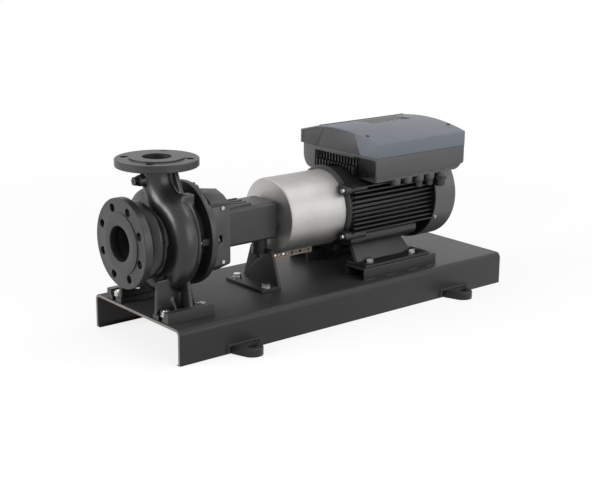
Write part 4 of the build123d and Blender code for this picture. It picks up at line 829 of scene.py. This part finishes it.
shieldScrews = {"x": 42, "y": 93, "z": (shaftZ - 56, shaftZ + 56)}
fastenerRow("end_shield_screws", "zinc_steel", socketCap, capScrew(11, 6, 5), [
    ((shieldScrews["x"], side * shieldScrews["y"], z), towardsPump)
    for side in (-1, 1) for z in shieldScrews["z"]])
hoodScrews = {"x": 336, "radius": 118, "angles": (24, 156, 204, 336)}
fastenerRow("fan_cover_screws", "zinc_steel", socketCap, capScrew(9, 3, 4), aroundShaft(hoodScrews))
bearingScrews = {"x": -104, "radius": 31, "angles": (45, 135, 225, 315)}
fastenerRow("bearing_cover_screws", "dark_steel", socketCap, capScrew(8, 4, 4), [
    (place, towardsMotor) for place, outwards in aroundShaft(bearingScrews)])
lidScrews = {"x": (114, 387), "y": -93, "z": 417.7, "slope": 0.18}
fastenerRow("lid_screws", "dark_steel", socketCap, capScrew(10, 2, 5), [
    ((x, lidScrews["y"], lidScrews["z"]), (0, -lidScrews["slope"], 1)) for x in lidScrews["x"]])
print("screws, bolts and nuts in place")

# ---- welds

beadForm = {"patchScale": 90.0, "thinnest": 0.75, "swell": 0.5, "sides": 10}  # shares are of its radius


def weldTree():
    # every edge of the seam becomes a bead, rippled as the pool froze
    tree, given = newTree("weld bead", {"Bead Radius": 3, "Ripple": 0.4, "Ripple Pitch": 3, "Step": 0.8})
    seam = addNode(tree, "GeometryNodeMeshToCurve", {"Mesh": given["Geometry"]})
    even = addNode(tree, "GeometryNodeResampleCurve", {
        "Curve": seam, "Length": given["Step"]}, mode="LENGTH")
    along = addNode(tree, "GeometryNodeSplineParameter").outputs["Length"]
    turned = addNode(tree, "ShaderNodeMath", {0: along, 1: 2 * pi}, operation="MULTIPLY")
    phase = addNode(tree, "ShaderNodeMath", {0: turned, 1: given["Ripple Pitch"]}, operation="DIVIDE")
    wave = addNode(tree, "ShaderNodeMath", {0: phase}, operation="SINE")
    ripple = addNode(tree, "ShaderNodeMath", {0: wave, 1: given["Ripple"]}, operation="MULTIPLY")
    place = addNode(tree, "GeometryNodeInputPosition")
    uneven = addNode(tree, "ShaderNodeTexNoise", {
        "Vector": place, "Scale": beadForm["patchScale"], "Detail": 1.0})
    swell = addNode(tree, "ShaderNodeMath", {0: uneven, 1: beadForm["swell"]}, operation="MULTIPLY")
    share = addNode(tree, "ShaderNodeMath", {0: beadForm["thinnest"], 1: swell}, operation="ADD")
    width = addNode(tree, "ShaderNodeMath", {0: given["Bead Radius"], 1: share}, operation="MULTIPLY")
    radius = addNode(tree, "ShaderNodeMath", {0: width, 1: ripple}, operation="ADD")
    shaped = addNode(tree, "GeometryNodeSetCurveRadius", {"Curve": even, "Radius": radius})
    section = addNode(tree, "GeometryNodeCurvePrimitiveCircle", {
        "Resolution": beadForm["sides"], "Radius": 1.0})
    closeTree(tree, given, addNode(tree, "GeometryNodeCurveToMesh", {
        "Curve": shaped, "Profile Curve": section, "Fill Caps": True,
        "Scale": addNode(tree, "GeometryNodeInputRadius")}))
    return tree


weldBead = weldTree()


def weldRow(name, slot, sizes, seams):
    # seams are lists of points, each welded from its first point to its last
    points = [[c * mm for c in point] for seam in seams for point in seam]
    edges, first = [], 0
    for seam in seams:
        edges += [(first + n, first + n + 1) for n in range(len(seam) - 1)]
        first += len(seam)
    mesh = bpy.data.meshes.new(name)
    mesh.from_pydata(points, edges, [])
    return grownPiece(name, slot, weldBead, sizes, mesh, 60)


lugWeld = {"x": (-312, 348), "side": 170, "top": 19, "bottom": 2, "half": 45}
lugSeams = []
for x in lugWeld["x"]:
    for y in (-lugWeld["side"], lugWeld["side"]):
        left, right = x - lugWeld["half"], x + lugWeld["half"]
        lugSeams.append([
            (left, y, lugWeld["bottom"]), (left, y, lugWeld["top"]),
            (right, y, lugWeld["top"]), (right, y, lugWeld["bottom"])])
weldRow("lug_welds", "frame_paint", {
    "Bead Radius": 3.4, "Ripple": 0.5, "Ripple Pitch": 3.2, "Step": 0.8}, lugSeams)
railWeld = {"x": (90, 160, 230, 292), "half": 17, "outer": 140, "inner": 71, "z": 80}
weldRow("rail_welds", "frame_paint", {
    "Bead Radius": 2.4, "Ripple": 0.4, "Ripple Pitch": 2.8, "Step": 0.8}, [
    [(x - railWeld["half"], side * y, railWeld["z"]), (x + railWeld["half"], side * y, railWeld["z"])]
    for x in railWeld["x"] for side in (-1, 1) for y in (railWeld["outer"], railWeld["inner"])])
print("welds laid")

# ---- studio

studio = {
    "floorSize": 40.0, "white": "#ffffff",
    "floorShare": 0.3,  # share of the floor's white that takes the shadow
    "floorLit": 0.70,  # how bright the lamps make a white floor
    "shadowFrom": 0.8, "shadowTo": 1.9,  # metres from the middle over which the shadow's share dies away
    "worldLight": 0.30}


def seenDirectly(tree):
    # camera, glossy and transmission rays see the white; the others are the light on the set
    rays = addNode(tree, "ShaderNodeLightPath").outputs
    seen = addNode(tree, "ShaderNodeMath", {
        0: rays["Is Camera Ray"], 1: rays["Is Glossy Ray"]}, operation="ADD", use_clamp=True)
    return addNode(tree, "ShaderNodeMath", {
        0: seen, 1: rays["Is Transmission Ray"]}, operation="ADD", use_clamp=True)


floorMesh = bpy.data.meshes.new("floor")
half = studio["floorSize"] / 2
floorCorners = [(-half, -half, 0), (half, -half, 0), (half, half, 0), (-half, half, 0)]
floorMesh.from_pydata(floorCorners, [], [(0, 1, 2, 3)])
floor = looseObject("floor", floorMesh)
floorFinish, floorTree = newFinish("white studio floor")
floorPlace = addNode(floorTree, "ShaderNodeTexCoord").outputs["Object"]
distance = addNode(floorTree, "ShaderNodeVectorMath", {0: floorPlace}, operation="LENGTH")
share = addNode(floorTree, "ShaderNodeMapRange", {
    "Value": distance, "From Min": studio["shadowFrom"], "From Max": studio["shadowTo"],
    "To Min": studio["floorShare"], "To Max": 0.0})
shadowed = addNode(floorTree, "ShaderNodeBsdfDiffuse", {"Color": share})
lit = addNode(floorTree, "ShaderNodeMath", {0: share, 1: studio["floorLit"]}, operation="MULTIPLY")
glowRest = addNode(floorTree, "ShaderNodeMath", {0: 1.0, 1: lit}, operation="SUBTRACT")
glowLevel = addNode(floorTree, "ShaderNodeMath", {
    0: seenDirectly(floorTree), 1: glowRest}, operation="MULTIPLY")
glow = addNode(floorTree, "ShaderNodeEmission", {
    "Color": hexColour(studio["white"]), "Strength": glowLevel})
closeFinish(floorTree, addNode(floorTree, "ShaderNodeAddShader", {0: shadowed, 1: glow}))
floorMesh.materials.append(floorFinish)

world = bpy.data.worlds.new("studio")
scene.world = world
world.use_nodes = True
worldTree = world.node_tree
worldTree.nodes.clear()
worldLevel = addNode(worldTree, "ShaderNodeMapRange", {
    "Value": seenDirectly(worldTree), "To Min": studio["worldLight"], "To Max": 1.0})
worldGlow = addNode(worldTree, "ShaderNodeBackground", {
    "Color": hexColour(studio["white"]), "Strength": worldLevel})
addNode(worldTree, "ShaderNodeOutputWorld", {"Surface": worldGlow})

softboxes = {  # place, aim, width and height in metres, and power in watts
    "key softbox": ((-3.2, 0.9, 1.2), (-0.1, 0.0, 0.2), (1.6, 1.2), 66.0),
    "top softbox": ((1.6, -0.9, 2.6), (0.1, 0.0, 0.2), (1.4, 1.0), 15.0),
    "side softbox": ((2.2, -2.2, 1.2), (0.2, 0.0, 0.2), (1.0, 1.0), 7.0),
    "near softbox": ((0.4, -3.2, 1.1), (0.1, 0.0, 0.2), (2.6, 2.2), 44.0)}
for name, (place, aim, size, power) in softboxes.items():
    lamp = bpy.data.lights.new(name, "AREA")
    lamp.shape = "RECTANGLE"
    lamp.size, lamp.size_y = size
    lamp.energy = power
    made = looseObject(name, lamp)
    made.location = place
    made.rotation_euler = (Vector(aim) - Vector(place)).to_track_quat("-Z", "Y").to_euler()

viewpoint = {
    "place": (-1.9087, -2.2869, 0.9665), "sensor": 36.0, "focalPixels": 1276.16, "framePixels": 592,
    "right": (0.77325825, -0.63404873, 0.00734133), "up": (0.15968043, 0.20591781, 0.96545327),
    "back": (-0.61365613, -0.74537244, 0.26047282)}
lens = bpy.data.cameras.new("camera")
lens.sensor_width = viewpoint["sensor"]
lens.lens = viewpoint["focalPixels"] / viewpoint["framePixels"] * viewpoint["sensor"]
camera = looseObject("camera", lens)
camera.matrix_world = (
    Matrix.Translation(viewpoint["place"])
    @ Matrix([viewpoint["right"], viewpoint["up"], viewpoint["back"]]).transposed().to_4x4())
scene.camera = camera
scene.view_settings.view_transform = "Standard"
print("studio and camera in place")
